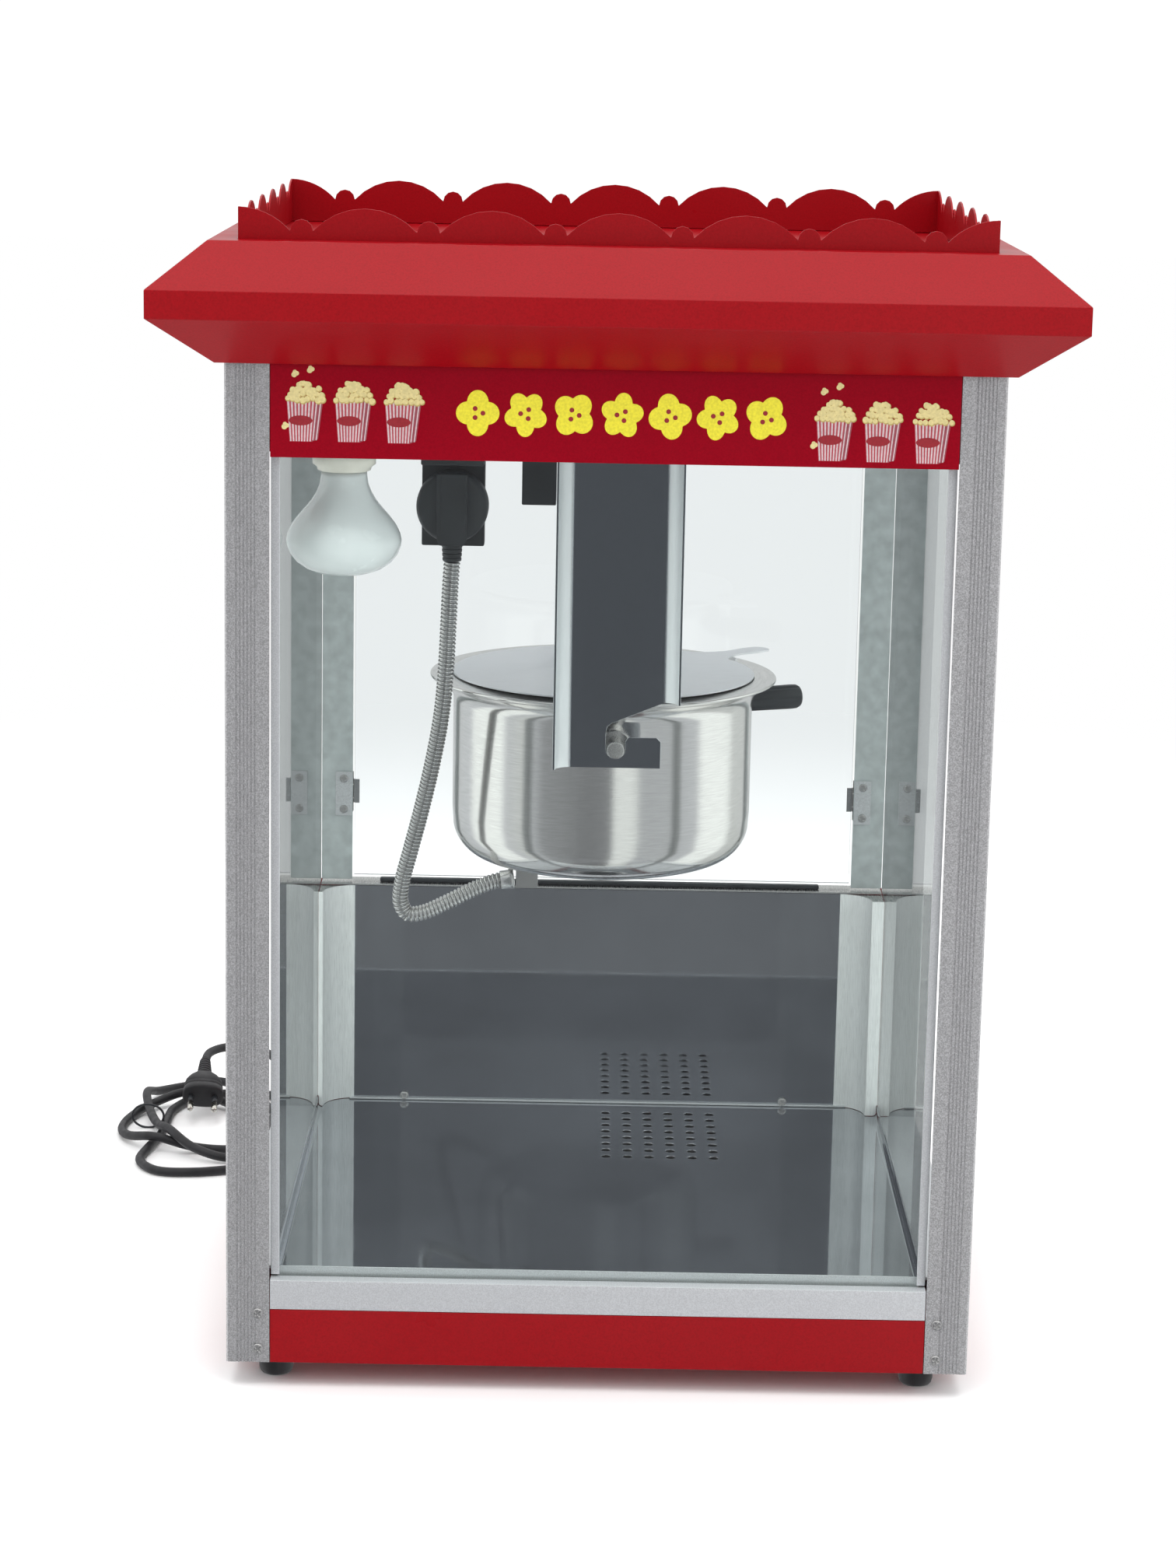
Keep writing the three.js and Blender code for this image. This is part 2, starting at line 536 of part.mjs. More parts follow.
function doors() {
  for (const [side, s] of [['left', -1], ['right', 1]]) {
    const xs = (a, b) => [s * a, s * b].sort((p, q) => p - q);
    add(`door_${side}`, box(...xs(DOOR.inner, DOOR.outer), back(DOOR.setback), back(DOOR.setback + DOOR.thick),
      up(DOOR.bottom), up(DOOR.top)), acrylic);
    add(`jamb_${side}`, box(...xs(185, BIN_HALF), back(396), back(398), up(SILL_H + 3), up(CEILING_H - GAP)),
      anodised);
    for (const [level, h] of Object.entries(HINGE_HEIGHTS)) {
      const leaf = box(...xs(185.5, 197.6), back(394.2), back(396 - GAP), up(h - 16.5), up(h + 16.5));
      add(`hinge_plate_${side}_${level}`, leaf, brightSteel);
    }
  }
}

// ---- Mains cord: down from the gland, three loose loops behind the left side, then the plug ----
const GLAND = { x: -176, z: 62 };
const PLUG_END = { at: [-319, 418, 35], heading: [0.06, -0.95, -0.31] };
const CORD_ROUTE = [
  [-176, 234.5, 62], [-176, 252, 61], [-179, 274, 55], [-186, 302, 38], [-197, 334, 18], [-212, 368, 6],
  [-234, 402, 3.5], [-262, 426, 3.5], [-296, 432, 3.5],
  [-326, 416, 3.5], [-341, 386, 3.5], [-343, 350, 3.5], [-344, 314, 3.5], [-350, 280, 3.5], [-352, 250, 3.5],
  [-336, 226, 3.5], [-308, 224, 3.5], [-276, 234, 3.5], [-248, 250, 3.5], [-232, 276, 3.5], [-234, 306, 3.5],
  [-252, 336, 3.5], [-274, 366, 3.5], [-298, 396, 5.5],
  [-330, 410, 11], [-358, 392, 6], [-373, 362, 3.5], [-376, 330, 3.5], [-366, 302, 7], [-344, 286, 11.5],
  [-314, 282, 5], [-282, 282, 3.5], [-254, 292, 6], [-240, 318, 11], [-246, 350, 6], [-262, 384, 4.5],
  [-282, 416, 10], [-312, 442, 10.5], [-338, 448, 4], [-358, 430, 5], [-364, 398, 13.5], [-357, 360, 9.5],
  [-346, 320, 11], [-334, 288, 17.5], [-312, 266, 9.5], [-284, 258, 4.5], [-263, 270, 8], [-255, 296, 14],
  [-257, 328, 11.5],
  [-256, 362, 12], [-255, 396, 19], [-259, 432, 28], [-272, 451, 33], [-290, 456, 36], [-307, 448, 37.5],
  [-317, 434, 37], PLUG_END.at,
];

// Two-pin moulded plug; the cord enters at the origin and the pins point along +Z.
function plugShape() {
  const boot = turned([[0, 1.4], [4.6, 1.4], [6.2, 20], [8, 26], [0, 26]], 16);
  const body = turned([[0, 23], [8, 23], [13, 30], [15, 36], [16, 50], [15, 51.5], [0, 51.5]], 24)
    .scale(1.05, 0.72, 1);
  const pins = [-9.5, 9.5].map((x) => turned([[0, 50], [2.4, 50], [2.4, 69], [1.4, 70.5], [0, 70.5]], 12)
    .translate(x, 0, 0));
  return join(boot, body, ...pins);
}

function mainsCord() {
  const gland = turned([[0, -4], [6.7, -4], [6.7, GAP], [11, GAP], [11, 4], [7, 6], [5.2, 28], [0, 28]], 20)
    .rotateX(-Math.PI / 2).translate(GLAND.x, CABINET_D / 2, GLAND.z);
  add('cord_gland', gland, blackRubber);
  add('mains_cord', tube(CORD_ROUTE, CORD_R, 8, 80), blackRubber);

  const heading = new THREE.Vector3(...PLUG_END.heading).normalize();
  const turn = new THREE.Quaternion().setFromUnitVectors(new THREE.Vector3(0, 0, 1), heading);
  add('mains_plug', plugShape().applyQuaternion(turn), blackRubber, ...PLUG_END.at);
}

base();
frame();
glazing();
bin();
head();
for (const [name, facing] of [['front', -1], ['rear', 1]]) add(`hanger_${name}`, hanger(facing), brightSteel);
drive();
lamp();
outlet();
kettle();
doors();
mainsCord();

export default group;
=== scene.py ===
"""Looks of the cabinet popcorn maker: camera, materials, cords, sheet metal, fittings and the studio."""
import math
import random

import bmesh
import bpy
from mathutils import Matrix, Quaternion, Vector


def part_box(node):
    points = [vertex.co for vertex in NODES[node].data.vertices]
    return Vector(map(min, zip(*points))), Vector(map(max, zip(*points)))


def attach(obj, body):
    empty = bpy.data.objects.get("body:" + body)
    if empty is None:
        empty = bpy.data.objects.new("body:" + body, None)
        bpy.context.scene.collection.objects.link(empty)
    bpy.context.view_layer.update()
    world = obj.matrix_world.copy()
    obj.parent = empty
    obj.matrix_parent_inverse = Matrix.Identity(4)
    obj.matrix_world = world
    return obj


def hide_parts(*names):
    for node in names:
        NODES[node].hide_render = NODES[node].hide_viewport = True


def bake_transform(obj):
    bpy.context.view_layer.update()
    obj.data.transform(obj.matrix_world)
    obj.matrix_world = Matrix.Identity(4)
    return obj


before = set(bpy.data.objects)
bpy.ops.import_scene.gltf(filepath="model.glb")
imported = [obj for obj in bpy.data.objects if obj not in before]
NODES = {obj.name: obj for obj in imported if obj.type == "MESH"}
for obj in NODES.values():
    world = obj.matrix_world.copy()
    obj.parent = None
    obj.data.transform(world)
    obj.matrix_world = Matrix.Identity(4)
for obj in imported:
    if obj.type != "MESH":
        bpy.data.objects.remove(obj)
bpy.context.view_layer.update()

MM = 0.001
BASE_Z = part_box("base_tray")[0].z
FRONT_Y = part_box("post_front_left")[0].y
REAR_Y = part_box("post_rear_left")[1].y
HALF_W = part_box("post_front_right")[1].x


def at(x, depth, height):
    """Place given in mm across, behind the front face and above the base, in metres."""
    return Vector((x * MM, FRONT_Y + depth * MM, BASE_Z + height * MM))


# ---------------------------------------------------------------- camera
def make_camera():
    data = bpy.data.cameras.new("camera")
    data.lens = 82.56
    data.sensor_width = 36
    data.clip_start = 0.05
    camera = bpy.data.objects.new("camera", data)
    bpy.context.scene.collection.objects.link(camera)
    pitch, yaw, roll = math.radians(11.965), math.radians(0.171), math.radians(1.088)
    camera.matrix_world = (
        Matrix.Translation((-0.01919, -2.4085, 0.87075))
        @ Matrix.Rotation(-yaw, 4, "Z")
        @ Matrix.Rotation(math.pi / 2 - pitch, 4, "X")
        @ Matrix.Rotation(roll, 4, "Z")
    )
    bpy.context.scene.camera = camera


make_camera()


# ---------------------------------------------------------------- materials
def add_node(tree, kind, inputs=(), **settings):
    """Adds a shader node; inputs gives sockets their values, or the sockets that feed them."""
    node = tree.nodes.new("ShaderNode" + kind)
    for name, value in settings.items():
        setattr(node, name, value)
    for socket, value in dict(inputs).items():
        if isinstance(value, bpy.types.NodeSocket):
            tree.links.new(value, node.inputs[socket])
        else:
            node.inputs[socket].default_value = value
    return node


class Surface:
    """A material with one Principled shader and helpers that add detail to it."""

    def __init__(self, name, color, metallic=0.0, **sockets):
        self.material = bpy.data.materials.new(name)
        self.material.use_nodes = True
        self.tree = self.material.node_tree
        self.shader = self.tree.nodes["Principled BSDF"]
        self.set("Base Color", (*color, 1.0))
        self.set("Metallic", metallic)
        for socket, value in sockets.items():
            self.set(socket.replace("_", " "), value)
        self.place = self.add("TexCoord").outputs["Object"]

    def add(self, kind, inputs=(), **settings):
        return add_node(self.tree, kind, inputs, **settings)

    def set(self, socket, value):
        self.shader.inputs[socket].default_value = value

    def feed(self, socket, value):
        self.tree.links.new(value, self.shader.inputs[socket])

    def show(self, node):
        """Makes a closure the material's surface in place of the Principled shader."""
        self.tree.links.new(node.outputs[0], self.tree.nodes["Material Output"].inputs["Surface"])

    def noise(self, scale, detail, stretch=(1, 1, 1)):
        mapping = self.add("Mapping", {"Scale": stretch, "Vector": self.place})
        noise = self.add("TexNoise", {"Scale": scale, "Detail": detail, "Vector": mapping.outputs["Vector"]})
        return noise.outputs["Fac"]

    def span(self, value, low, high, start=0.3, end=0.7):
        ends = {"From Min": start, "From Max": end, "To Min": low, "To Max": high}
        return self.add("MapRange", {**ends, "Value": value}).outputs["Result"]

    def tint(self, value, first, second, start=0.3, end=0.7):
        ramp = self.add("ValToRGB", {"Fac": value})
        for element, place, color in zip(ramp.color_ramp.elements, (start, end), (first, second)):
            element.position = place
            element.color = (*color, 1.0)
        self.feed("Base Color", ramp.outputs["Color"])

    def rough(self, value, low, high):
        self.feed("Roughness", self.span(value, low, high))

    def bump(self, value, strength, distance):
        node = self.add("Bump", {"Strength": strength, "Distance": distance, "Height": value})
        self.feed("Normal", node.outputs["Normal"])


def shade(color, factor):
    return tuple(min(1.0, c * factor) for c in color)


def finish(name, color, tone, wear, relief=None, metallic=0.0, stretch=(1, 1, 1), **sockets):
    """Surface with mottled colour, uneven gloss and fine relief.

    tone is (noise scale, detail, darkest, lightest) with factors of the colour, wear the same with the lowest
    and highest roughness, and relief the same with the strength and depth of the bump.
    """
    s = Surface(name, color, metallic, **sockets)
    scale, detail, dark, light, *limits = tone
    s.tint(s.noise(scale, detail, stretch), shade(color, dark), shade(color, light), *limits)
    s.rough(s.noise(*wear[:2], stretch), *wear[2:])
    if relief:
        s.bump(s.noise(*relief[:2], stretch), *relief[2:])
    return s


def ink(name, color):
    return finish(name, color, (700, 2, 0.86, 1.06), (50, 3, 0.34, 0.46)).material


def anodised(name, grey, contrast):
    """Satin anodised aluminium with a fine sparkle."""
    return finish(name, grey, (1400, 2, 1 - contrast, 1 + 0.8 * contrast, 0.36, 0.66), (1000, 2, 0.34, 0.55),
                  (1500, 2, 0.3, 0.0001), 0.75).material


def brushed(name, grey, stretch, low, high, anisotropy=0.4, grain=90, metallic=1.0):
    """Brushed steel whose grain runs along the axis that stretch leaves at 1."""
    return finish(name, grey, (grain, 4, 0.9, 1.06), (grain * 1.7, 4, low, high),
                  (grain * 2.2, 3, 0.08, 0.00005), metallic, stretch, Anisotropic=anisotropy).material


def plastic(name, color, low=0.38, high=0.52, grain=900):
    return finish(name, color, (35, 4, 0.85, 1.2), (120, 3, low, high), (grain, 2, 0.2, 0.0001)).material


def hanger_steel_painted_highlight():
    """Dark polished steel whose base colour turns bright where the surface faces sideways: a painted
    highlight on the rolled edges and returns, which also turn satin, rougher and less metallic there.
    """
    dark, bright = (0.25, 0.27, 0.3), (0.88, 0.9, 0.92)
    flat, rolled = 0.06, 0.28
    s = Surface("hanger_steel_painted_highlight", dark)
    # painted highlight: colour, roughness and metal follow how far the surface faces sideways
    split = s.add("SeparateXYZ", {"Vector": s.add("NewGeometry").outputs["Normal"]})
    side = s.add("Math", {0: split.outputs["X"]}, operation="ABSOLUTE").outputs["Value"]
    s.tint(side, dark, bright, flat, rolled)
    s.feed("Roughness", s.span(side, 0.14, 0.38, flat, rolled))
    s.feed("Metallic", s.span(side, 1.0, 0.35, flat, rolled))
    s.bump(s.noise(120, 5, (30, 30, 1)), 0.06, 0.00005)
    return s.material


def frosted():
    """Frosted lamp glass that scatters light under its skin."""
    s = finish("frosted_glass", (0.74, 0.77, 0.78), (26, 5, 0.93, 1.04), (70, 4, 0.16, 0.3), Coat_Weight=0.6,
               Coat_Roughness=0.05, Subsurface_Weight=0.25, Subsurface_Scale=0.4)
    s.set("Subsurface Radius", (0.01, 0.01, 0.01))
    return s.material


def glass(name, color):
    """Clear pane that lets light rays through, so that what is inside stays lit."""
    s = Surface(name, color, IOR=1.46, Transmission_Weight=1.0)
    s.rough(s.noise(6, 5), 0.0, 0.01)
    path = s.add("LightPath").outputs
    either = s.add("Math", {0: path["Is Shadow Ray"], 1: path["Is Diffuse Ray"]}, operation="MAXIMUM")
    through = s.add("BsdfTransparent", {"Color": (*color, 1.0)})
    s.show(s.add("MixShader", {"Fac": either.outputs["Value"], 1: s.shader.outputs["BSDF"],
                               2: through.outputs["BSDF"]}))
    return s.material


ROUND_Z = (1, 1, 40)     # brushing that runs round a turned piece
ALONG_X = (1, 30, 30)
ALONG_Y = (30, 1, 30)
ALONG_Z = (30, 30, 1)
PLAIN = (1, 1, 1)

RED = finish("red_powder_coat", (0.27, 0.0015, 0.005), (900, 2, 0.88, 1.12), (14, 4, 0.26, 0.4),
             (650, 2, 0.25, 0.0002), Coat_Weight=0.28, Coat_Roughness=0.22, Specular_IOR_Level=0.1).material
SIGN = finish("sign_film", (0.25, 0.0008, 0.009), (1100, 2, 0.9, 1.1), (60, 4, 0.3, 0.42),
              (900, 2, 0.12, 0.0001), Specular_IOR_Level=0.06).material
ALU = anodised("anodised_aluminium", (0.56, 0.56, 0.57), 0.28)
RAIL_ALU = anodised("anodised_rail", (0.84, 0.86, 0.88), 0.1)
ZINC = finish("galvanised_strip", (0.74, 0.8, 0.8), (120, 5, 0.86, 1.1), (240, 3, 0.32, 0.5),
              (500, 2, 0.1, 0.0001), 0.7).material
MIRROR = finish("polished_steel", (0.55, 0.57, 0.6), (9, 6, 0.88, 1.08), (22, 7, 0.015, 0.06),
                metallic=1.0).material
# brushed grain is the steel's own; the near-white, barely metallic colour is painted reflection for the
# curved flanges
FLANGE_PAINTED_REFLECTION_STEEL = brushed("formed_edge_steel_painted_reflection", (0.93, 0.95, 0.95), ALONG_Z, 0.24, 0.36, 0.3, 60, 0.12)
KETTLE_STEEL = brushed("kettle_steel", (0.93, 0.92, 0.9), ROUND_Z, 0.1, 0.16)
LID_STEEL = brushed("lid_steel", (0.9, 0.91, 0.94), ALONG_X, 0.28, 0.4, metallic=0.55)
HANGER_PAINTED_HIGHLIGHT_STEEL = hanger_steel_painted_highlight()
PLAIN_STEEL = brushed("fitting_steel", (0.62, 0.62, 0.61), ALONG_Y, 0.2, 0.34)
CONDUIT_STEEL = brushed("conduit_steel", (0.74, 0.74, 0.73), PLAIN, 0.12, 0.26, 0.0, 400)
# dark grey for the conduit's grooves: painted shade
GROOVE_PAINTED_SHADE = plastic("conduit_groove_painted_shade", (0.16, 0.16, 0.158), 0.5, 0.7, 500)
BRASS_PIN = brushed("plug_pin_metal", (0.72, 0.7, 0.64), PLAIN, 0.18, 0.3, 0.0, 300)
BLACK = plastic("black_plastic", (0.022, 0.025, 0.029))
SWITCH_BLACK = plastic("switch_plastic", (0.02, 0.02, 0.022), 0.25, 0.36)
RUBBER = finish("black_rubber", (0.018, 0.018, 0.02), (60, 4, 0.8, 1.4), (150, 3, 0.4, 0.6),
                (1200, 2, 0.15, 0.0001), Specular_IOR_Level=0.45).material
WHITE = finish("white_enamel", (0.78, 0.8, 0.82), (20, 4, 0.97, 1.02), (90, 3, 0.25, 0.35),
               (500, 2, 0.08, 0.0001), Coat_Weight=0.3).material
CERAMIC = plastic("glazed_ceramic", (0.78, 0.75, 0.68), 0.15, 0.25, 300)
CASTING = plastic("cast_metal", (0.32, 0.33, 0.34), 0.4, 0.55, 400)
BULB = frosted()
PANE = glass("float_glass", (0.955, 0.985, 0.975))
DOOR_PANE = glass("clear_acrylic", (0.95, 0.965, 0.98))


# ---------------------------------------------------------------- mesh helpers
def add_object(name, data):
    piece = bpy.data.objects.new(name, data)
    bpy.context.scene.collection.objects.link(piece)
    return piece


def mesh_object(name, vertices, faces, smooth=False):
    mesh = bpy.data.meshes.new(name)
    mesh.from_pydata([tuple(v) for v in vertices], [], faces)
    mesh.update()
    work = bmesh.new()
    work.from_mesh(mesh)
    bmesh.ops.recalc_face_normals(work, faces=work.faces)
    work.to_mesh(mesh)
    work.free()
    if smooth:
        mesh.polygons.foreach_set("use_smooth", [True] * len(mesh.polygons))
    return add_object(name, mesh)


def soften(piece, width=0.4 * MM, segments=2, angle=32):
    """Rounds the edges of a piece and keeps its flats flat."""
    bevel = piece.modifiers.new("edges", "BEVEL")
    bevel.width = width
    bevel.segments = segments
    bevel.angle_limit = math.radians(angle)
    bevel.use_clamp_overlap = True
    piece.data.polygons.foreach_set("use_smooth", [True] * len(piece.data.polygons))
    normals = piece.modifiers.new("normals", "WEIGHTED_NORMAL")
    normals.keep_sharp = True
    return piece


def put(piece, material, body, slot, *nodes):
    """Gives a piece its material and body, and hides the CAD nodes it stands for; the slot is not used."""
    piece.data.materials.append(material)
    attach(piece, body)
    if nodes:
        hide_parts(*nodes)
    return piece


def fitting(name, data, material, slot, width=0.4, body="cabinet", nodes=(), segments=2):
    """Sharp-edged piece with its edges softened by a width in mm, ready in its place."""
    return put(soften(mesh_object(name, *data), width * MM, segments), material, body, slot, *nodes)


def turn_to(axis):
    return Vector((0, 0, 1)).rotation_difference(Vector(axis).normalized())


def stitch(rings, sides):
    """Faces between rings of vertices in a row, with a cap on each end."""
    faces = []
    for k in range(rings - 1):
        for i in range(sides):
            j = (i + 1) % sides
            faces.append((k * sides + i, k * sides + j, (k + 1) * sides + j, (k + 1) * sides + i))
    return [*faces, tuple(range(sides)), tuple(range((rings - 1) * sides, rings * sides))]


def lathe_data(profile, segments, origin, axis=(0, 0, 1)):
    """Turned piece from a closed or axis-to-axis profile of (radius, along), in mm."""
    turn = turn_to(axis)
    vertices, faces, rings = [], [], []
    for radius, along in profile:
        if radius < 1e-6:
            rings.append([len(vertices)])
            vertices.append(turn @ Vector((0, 0, along * MM)) + origin)
            continue
        ring = []
        for i in range(segments):
            a = math.tau * i / segments
            ring.append(len(vertices))
            point = Vector((radius * math.cos(a), radius * math.sin(a), along)) * MM
            vertices.append(turn @ point + origin)
        rings.append(ring)
    pairs = list(zip(rings, rings[1:]))
    if len(rings[0]) > 1 and len(rings[-1]) > 1:
        pairs.append((rings[-1], rings[0]))
    for low, high in pairs:
        for i in range(segments):
            j = (i + 1) % segments
            if len(low) == 1:
                faces.append((low[0], high[i], high[j]))
            elif len(high) == 1:
                faces.append((low[i], low[j], high[0]))
            else:
                faces.append((low[i], low[j], high[j], high[i]))
    return vertices, faces


def lathe(name, profile, origin, axis=(0, 0, 1), segments=96):
    return mesh_object(name, *lathe_data(profile, segments, origin, axis), smooth=True)


def arc(cx, cy, radius, start, end, steps):
    return [(cx + radius * math.cos(math.radians(start + (end - start) * i / steps)),
             cy + radius * math.sin(math.radians(start + (end - start) * i / steps)))
            for i in range(steps + 1)]


def merge_data(parts):
    vertices, faces = [], []
    for part_vertices, part_faces in parts:
        shift = len(vertices)
        vertices += part_vertices
        faces += [tuple(i + shift for i in face) for face in part_faces]
    return vertices, faces


def prism_data(outline, place, low, high):
    """Solid between two copies of an outline; place maps (u, v, w) to a point."""
    count = len(outline)
    vertices = [place(u, v, low) for u, v in outline] + [place(u, v, high) for u, v in outline]
    faces = [tuple(range(count)), tuple(range(count, 2 * count))]
    faces += [(i, (i + 1) % count, count + (i + 1) % count, count + i) for i in range(count)]
    return vertices, faces


def box_data(x0, x1, d0, d1, h0, h1):
    """Box in mm across, behind the front face and above the base."""
    return prism_data([(x0, d0), (x1, d0), (x1, d1), (x0, d1)], at, h0, h1)


def loft_data(sections, place, sides=48, power=2.6):
    """Closed body through superellipse sections of (along, half width, half height), in mm."""
    vertices = []
    for along, half_u, half_v in sections:
        for i in range(sides):
            a = math.tau * i / sides
            c, s = math.cos(a), math.sin(a)
            u = half_u * math.copysign(abs(c) ** (2 / power), c)
            v = half_v * math.copysign(abs(s) ** (2 / power), s)
            vertices.append(place(u, v, along))
    return vertices, stitch(len(sections), sides)


# ---------------------------------------------------------------- curves
def centripetal(points, p, t):
    """Point at share t of the centripetal Catmull-Rom curve between points p and p + 1."""
    a, b = points[p], points[p + 1]
    before = points[p - 1] if p > 0 else a * 2 - b
    after = points[p + 2] if p + 2 < len(points) else b * 2 - a
    t0 = max((b - a).length ** 0.5, 1e-6)
    t_before = (a - before).length ** 0.5 or t0
    t_after = (after - b).length ** 0.5 or t0
    m0 = ((a - before) / t_before - (b - before) / (t_before + t0) + (b - a) / t0) * t0
    m1 = ((b - a) / t0 - (after - a) / (t0 + t_after) + (after - b) / t_after) * t0
    return (a * (2 * t ** 3 - 3 * t ** 2 + 1) + m0 * (t ** 3 - 2 * t ** 2 + t)
            + b * (3 * t ** 2 - 2 * t ** 3) + m1 * (t ** 3 - t ** 2))


def smooth_path(points, spacing):
    """Evenly spaced points along the smooth curve through the given points."""
    dense = []
    for p in range(len(points) - 1):
        dense += [centripetal(points, p, i / 24) for i in range(24)]
    dense.append(points[-1])
    lengths = [0.0]
    for a, b in zip(dense, dense[1:]):
        lengths.append(lengths[-1] + (b - a).length)
    count = max(2, round(lengths[-1] / spacing))
    path, k = [], 0
    for i in range(count + 1):
        goal = lengths[-1] * i / count
        while k < len(lengths) - 2 and lengths[k + 1] < goal:
            k += 1
        part = (goal - lengths[k]) / max(lengths[k + 1] - lengths[k], 1e-9)
        path.append(dense[k].lerp(dense[k + 1], min(max(part, 0.0), 1.0)))
    return path, lengths[-1]


def carried_frames(path):
    """Side and upward directions carried along a path without twist."""
    tangents = []
    for i in range(len(path)):
        a, b = path[max(i - 1, 0)], path[min(i + 1, len(path) - 1)]
        tangents.append((b - a).normalized())
    side = tangents[0].orthogonal().normalized()
    frames = []
    for i, tangent in enumerate(tangents):
        if i:
            side = tangents[i - 1].rotation_difference(tangent) @ side
        side = (side - tangent * side.dot(tangent)).normalized()
        frames.append((side, tangent.cross(side)))
    return frames


def tube_data(path, radius_at, sides):
    """Closed tube along a path; radius_at(step, side share) gives its radius in metres."""
    vertices = []
    for k, (point, (side, over)) in enumerate(zip(path, carried_frames(path))):
        for i in range(sides):
            a = math.tau * i / sides
            r = radius_at(k, i / sides)
            vertices.append(point + (side * math.cos(a) + over * math.sin(a)) * r)
    return vertices, stitch(len(path), sides)


# ---------------------------------------------------------------- mains cord
CORD_R = 3.5 * MM
GLAND_X, GLAND_Z = -176, 62
CORD_ROUTE = [
    (-176, 234.5, 62), (-176, 252, 61), (-179, 274, 55), (-186, 302, 38), (-197, 334, 18), (-212, 368, 6),
    (-234, 402, 3.5), (-262, 426, 3.5), (-296, 432, 3.5),
    (-326, 416, 3.5), (-341, 386, 3.5), (-343, 350, 3.5), (-344, 314, 3.5), (-350, 280, 3.5),
    (-352, 250, 3.5), (-336, 226, 3.5), (-308, 224, 3.5), (-276, 234, 3.5), (-248, 250, 3.5),
    (-232, 276, 3.5), (-234, 306, 3.5), (-252, 336, 3.5), (-274, 366, 3.5), (-298, 396, 5.5),
    (-330, 410, 11), (-358, 392, 6), (-373, 362, 3.5), (-376, 330, 3.5), (-366, 302, 7), (-344, 286, 11.5),
    (-314, 282, 5), (-282, 282, 3.5), (-254, 292, 6), (-240, 318, 11), (-246, 350, 6), (-262, 384, 4.5),
    (-282, 416, 10), (-312, 442, 10.5), (-338, 448, 4), (-358, 430, 5), (-364, 398, 13.5), (-357, 360, 9.5),
    (-346, 320, 11), (-334, 288, 17.5), (-312, 266, 9.5), (-284, 258, 4.5), (-263, 270, 8), (-255, 296, 14),
    (-257, 328, 11.5), (-256, 362, 12), (-255, 396, 19), (-259, 432, 28), (-272, 451, 33), (-290, 456, 36),
    (-307, 448, 37.5), (-317, 434, 37), (-319, 418, 35),
]
PLUG_HEADING = Vector((0.06, -0.95, -0.31)).normalized()
PIN_SPACING = 19


def mains_plug():
    """Moulded two-pin plug with a ribbed boot, grip flutes and half-sleeved pins."""
    turn = turn_to(PLUG_HEADING)
    start = Vector(CORD_ROUTE[-1]) * MM

    def place(u, v, along):
        return turn @ (Vector((u, v, along)) * MM) + start

    ribs = []
    for i in range(6):
        z = 1.4 + i * 3.6
        r = 4.3 + i * 0.32
        ribs += [(z, r, r), (z + 2.2, r + 0.35, r + 0.35), (z + 2.3, r - 0.55, r - 0.55),
                 (z + 3.5, r - 0.5, r - 0.5)]
    shell = [(23, 6.0, 6.0), (24.5, 8.2, 7.2), (29, 12.2, 8.7), (34, 14.8, 9.6), (38, 15.4, 10.0),
             (39, 14.8, 9.4), (40.2, 14.8, 9.4), (41, 15.6, 10.2), (42.4, 15.6, 10.2), (43, 15.0, 9.6),
             (44.2, 15.0, 9.6), (45, 16.0, 10.5), (49.5, 16.4, 10.9), (51, 15.8, 10.2), (51.4, 14.2, 8.9)]
    body = mesh_object("mains_plug_body", *merge_data([
        loft_data(ribs, place, 28, 2.0), loft_data(shell, place, 56, 2.8)]), smooth=True)
    sleeves, tips = [], []
    for x in (-PIN_SPACING / 2, PIN_SPACING / 2):
        foot = place(x, 0, 0)
        sleeves.append(lathe_data([(0, 50.5), (2.2, 50.5), (2.2, 60.2), (0, 60.2)], 24, foot, PLUG_HEADING))
        tips.append(lathe_data([(0, 60), (2.35, 60), (2.4, 68), (2.1, 69.4), (1.3, 70.3), (0, 70.5)],
                               24, foot, PLUG_HEADING))
    pin_sleeves = mesh_object("mains_plug_sleeves", *merge_data(sleeves), smooth=True)
    pin_tips = mesh_object("mains_plug_pins", *merge_data(tips), smooth=True)
    put(body, RUBBER, "cabinet", "black_rubber", "mains_plug")
    put(pin_sleeves, BLACK, "cabinet", "black_rubber")
    put(pin_tips, BRASS_PIN, "cabinet", "brushed_steel")
    return [body, pin_sleeves, pin_tips]


def strain_relief():
    """Ribbed, tapered sleeve where the cord leaves the rear panel."""
    profile = [(0, -1.3), (6.4, -1.3), (6.4, 0.2), (10.8, 0.2), (11, 0.6), (11, 3.4), (10.4, 4), (7.6, 4.2)]
    for i in range(7):
        z = 5.4 + i * 3.1
        r = 7.2 - i * 0.33
        profile += [(r, z), (r, z + 1.7), (r - 0.8, z + 2.0), (r - 0.85, z + 2.9)]
    profile += [(4.9, 27.6), (4.4, 28), (0, 28)]
    gland = lathe("cord_strain_relief", profile, Vector((GLAND_X * MM, REAR_Y, GLAND_Z * MM)), (0, 1, 0), 40)
    return put(gland, RUBBER, "cabinet", "black_rubber", "cord_gland")


def cord_tie():
    """Thin dark twist tie that holds the loops together near their left end."""
    ring = [Vector((-357 + 12.5 * math.cos(a), 344, 10.2 + 9.6 * math.sin(a))) * MM
            for a in [math.tau * i / 32 for i in range(33)]]
    tie = mesh_object("cord_tie", *tube_data(ring, lambda k, s: 0.9 * MM, 10), smooth=True)
    return put(tie, BLACK, "cabinet", "black_plastic")


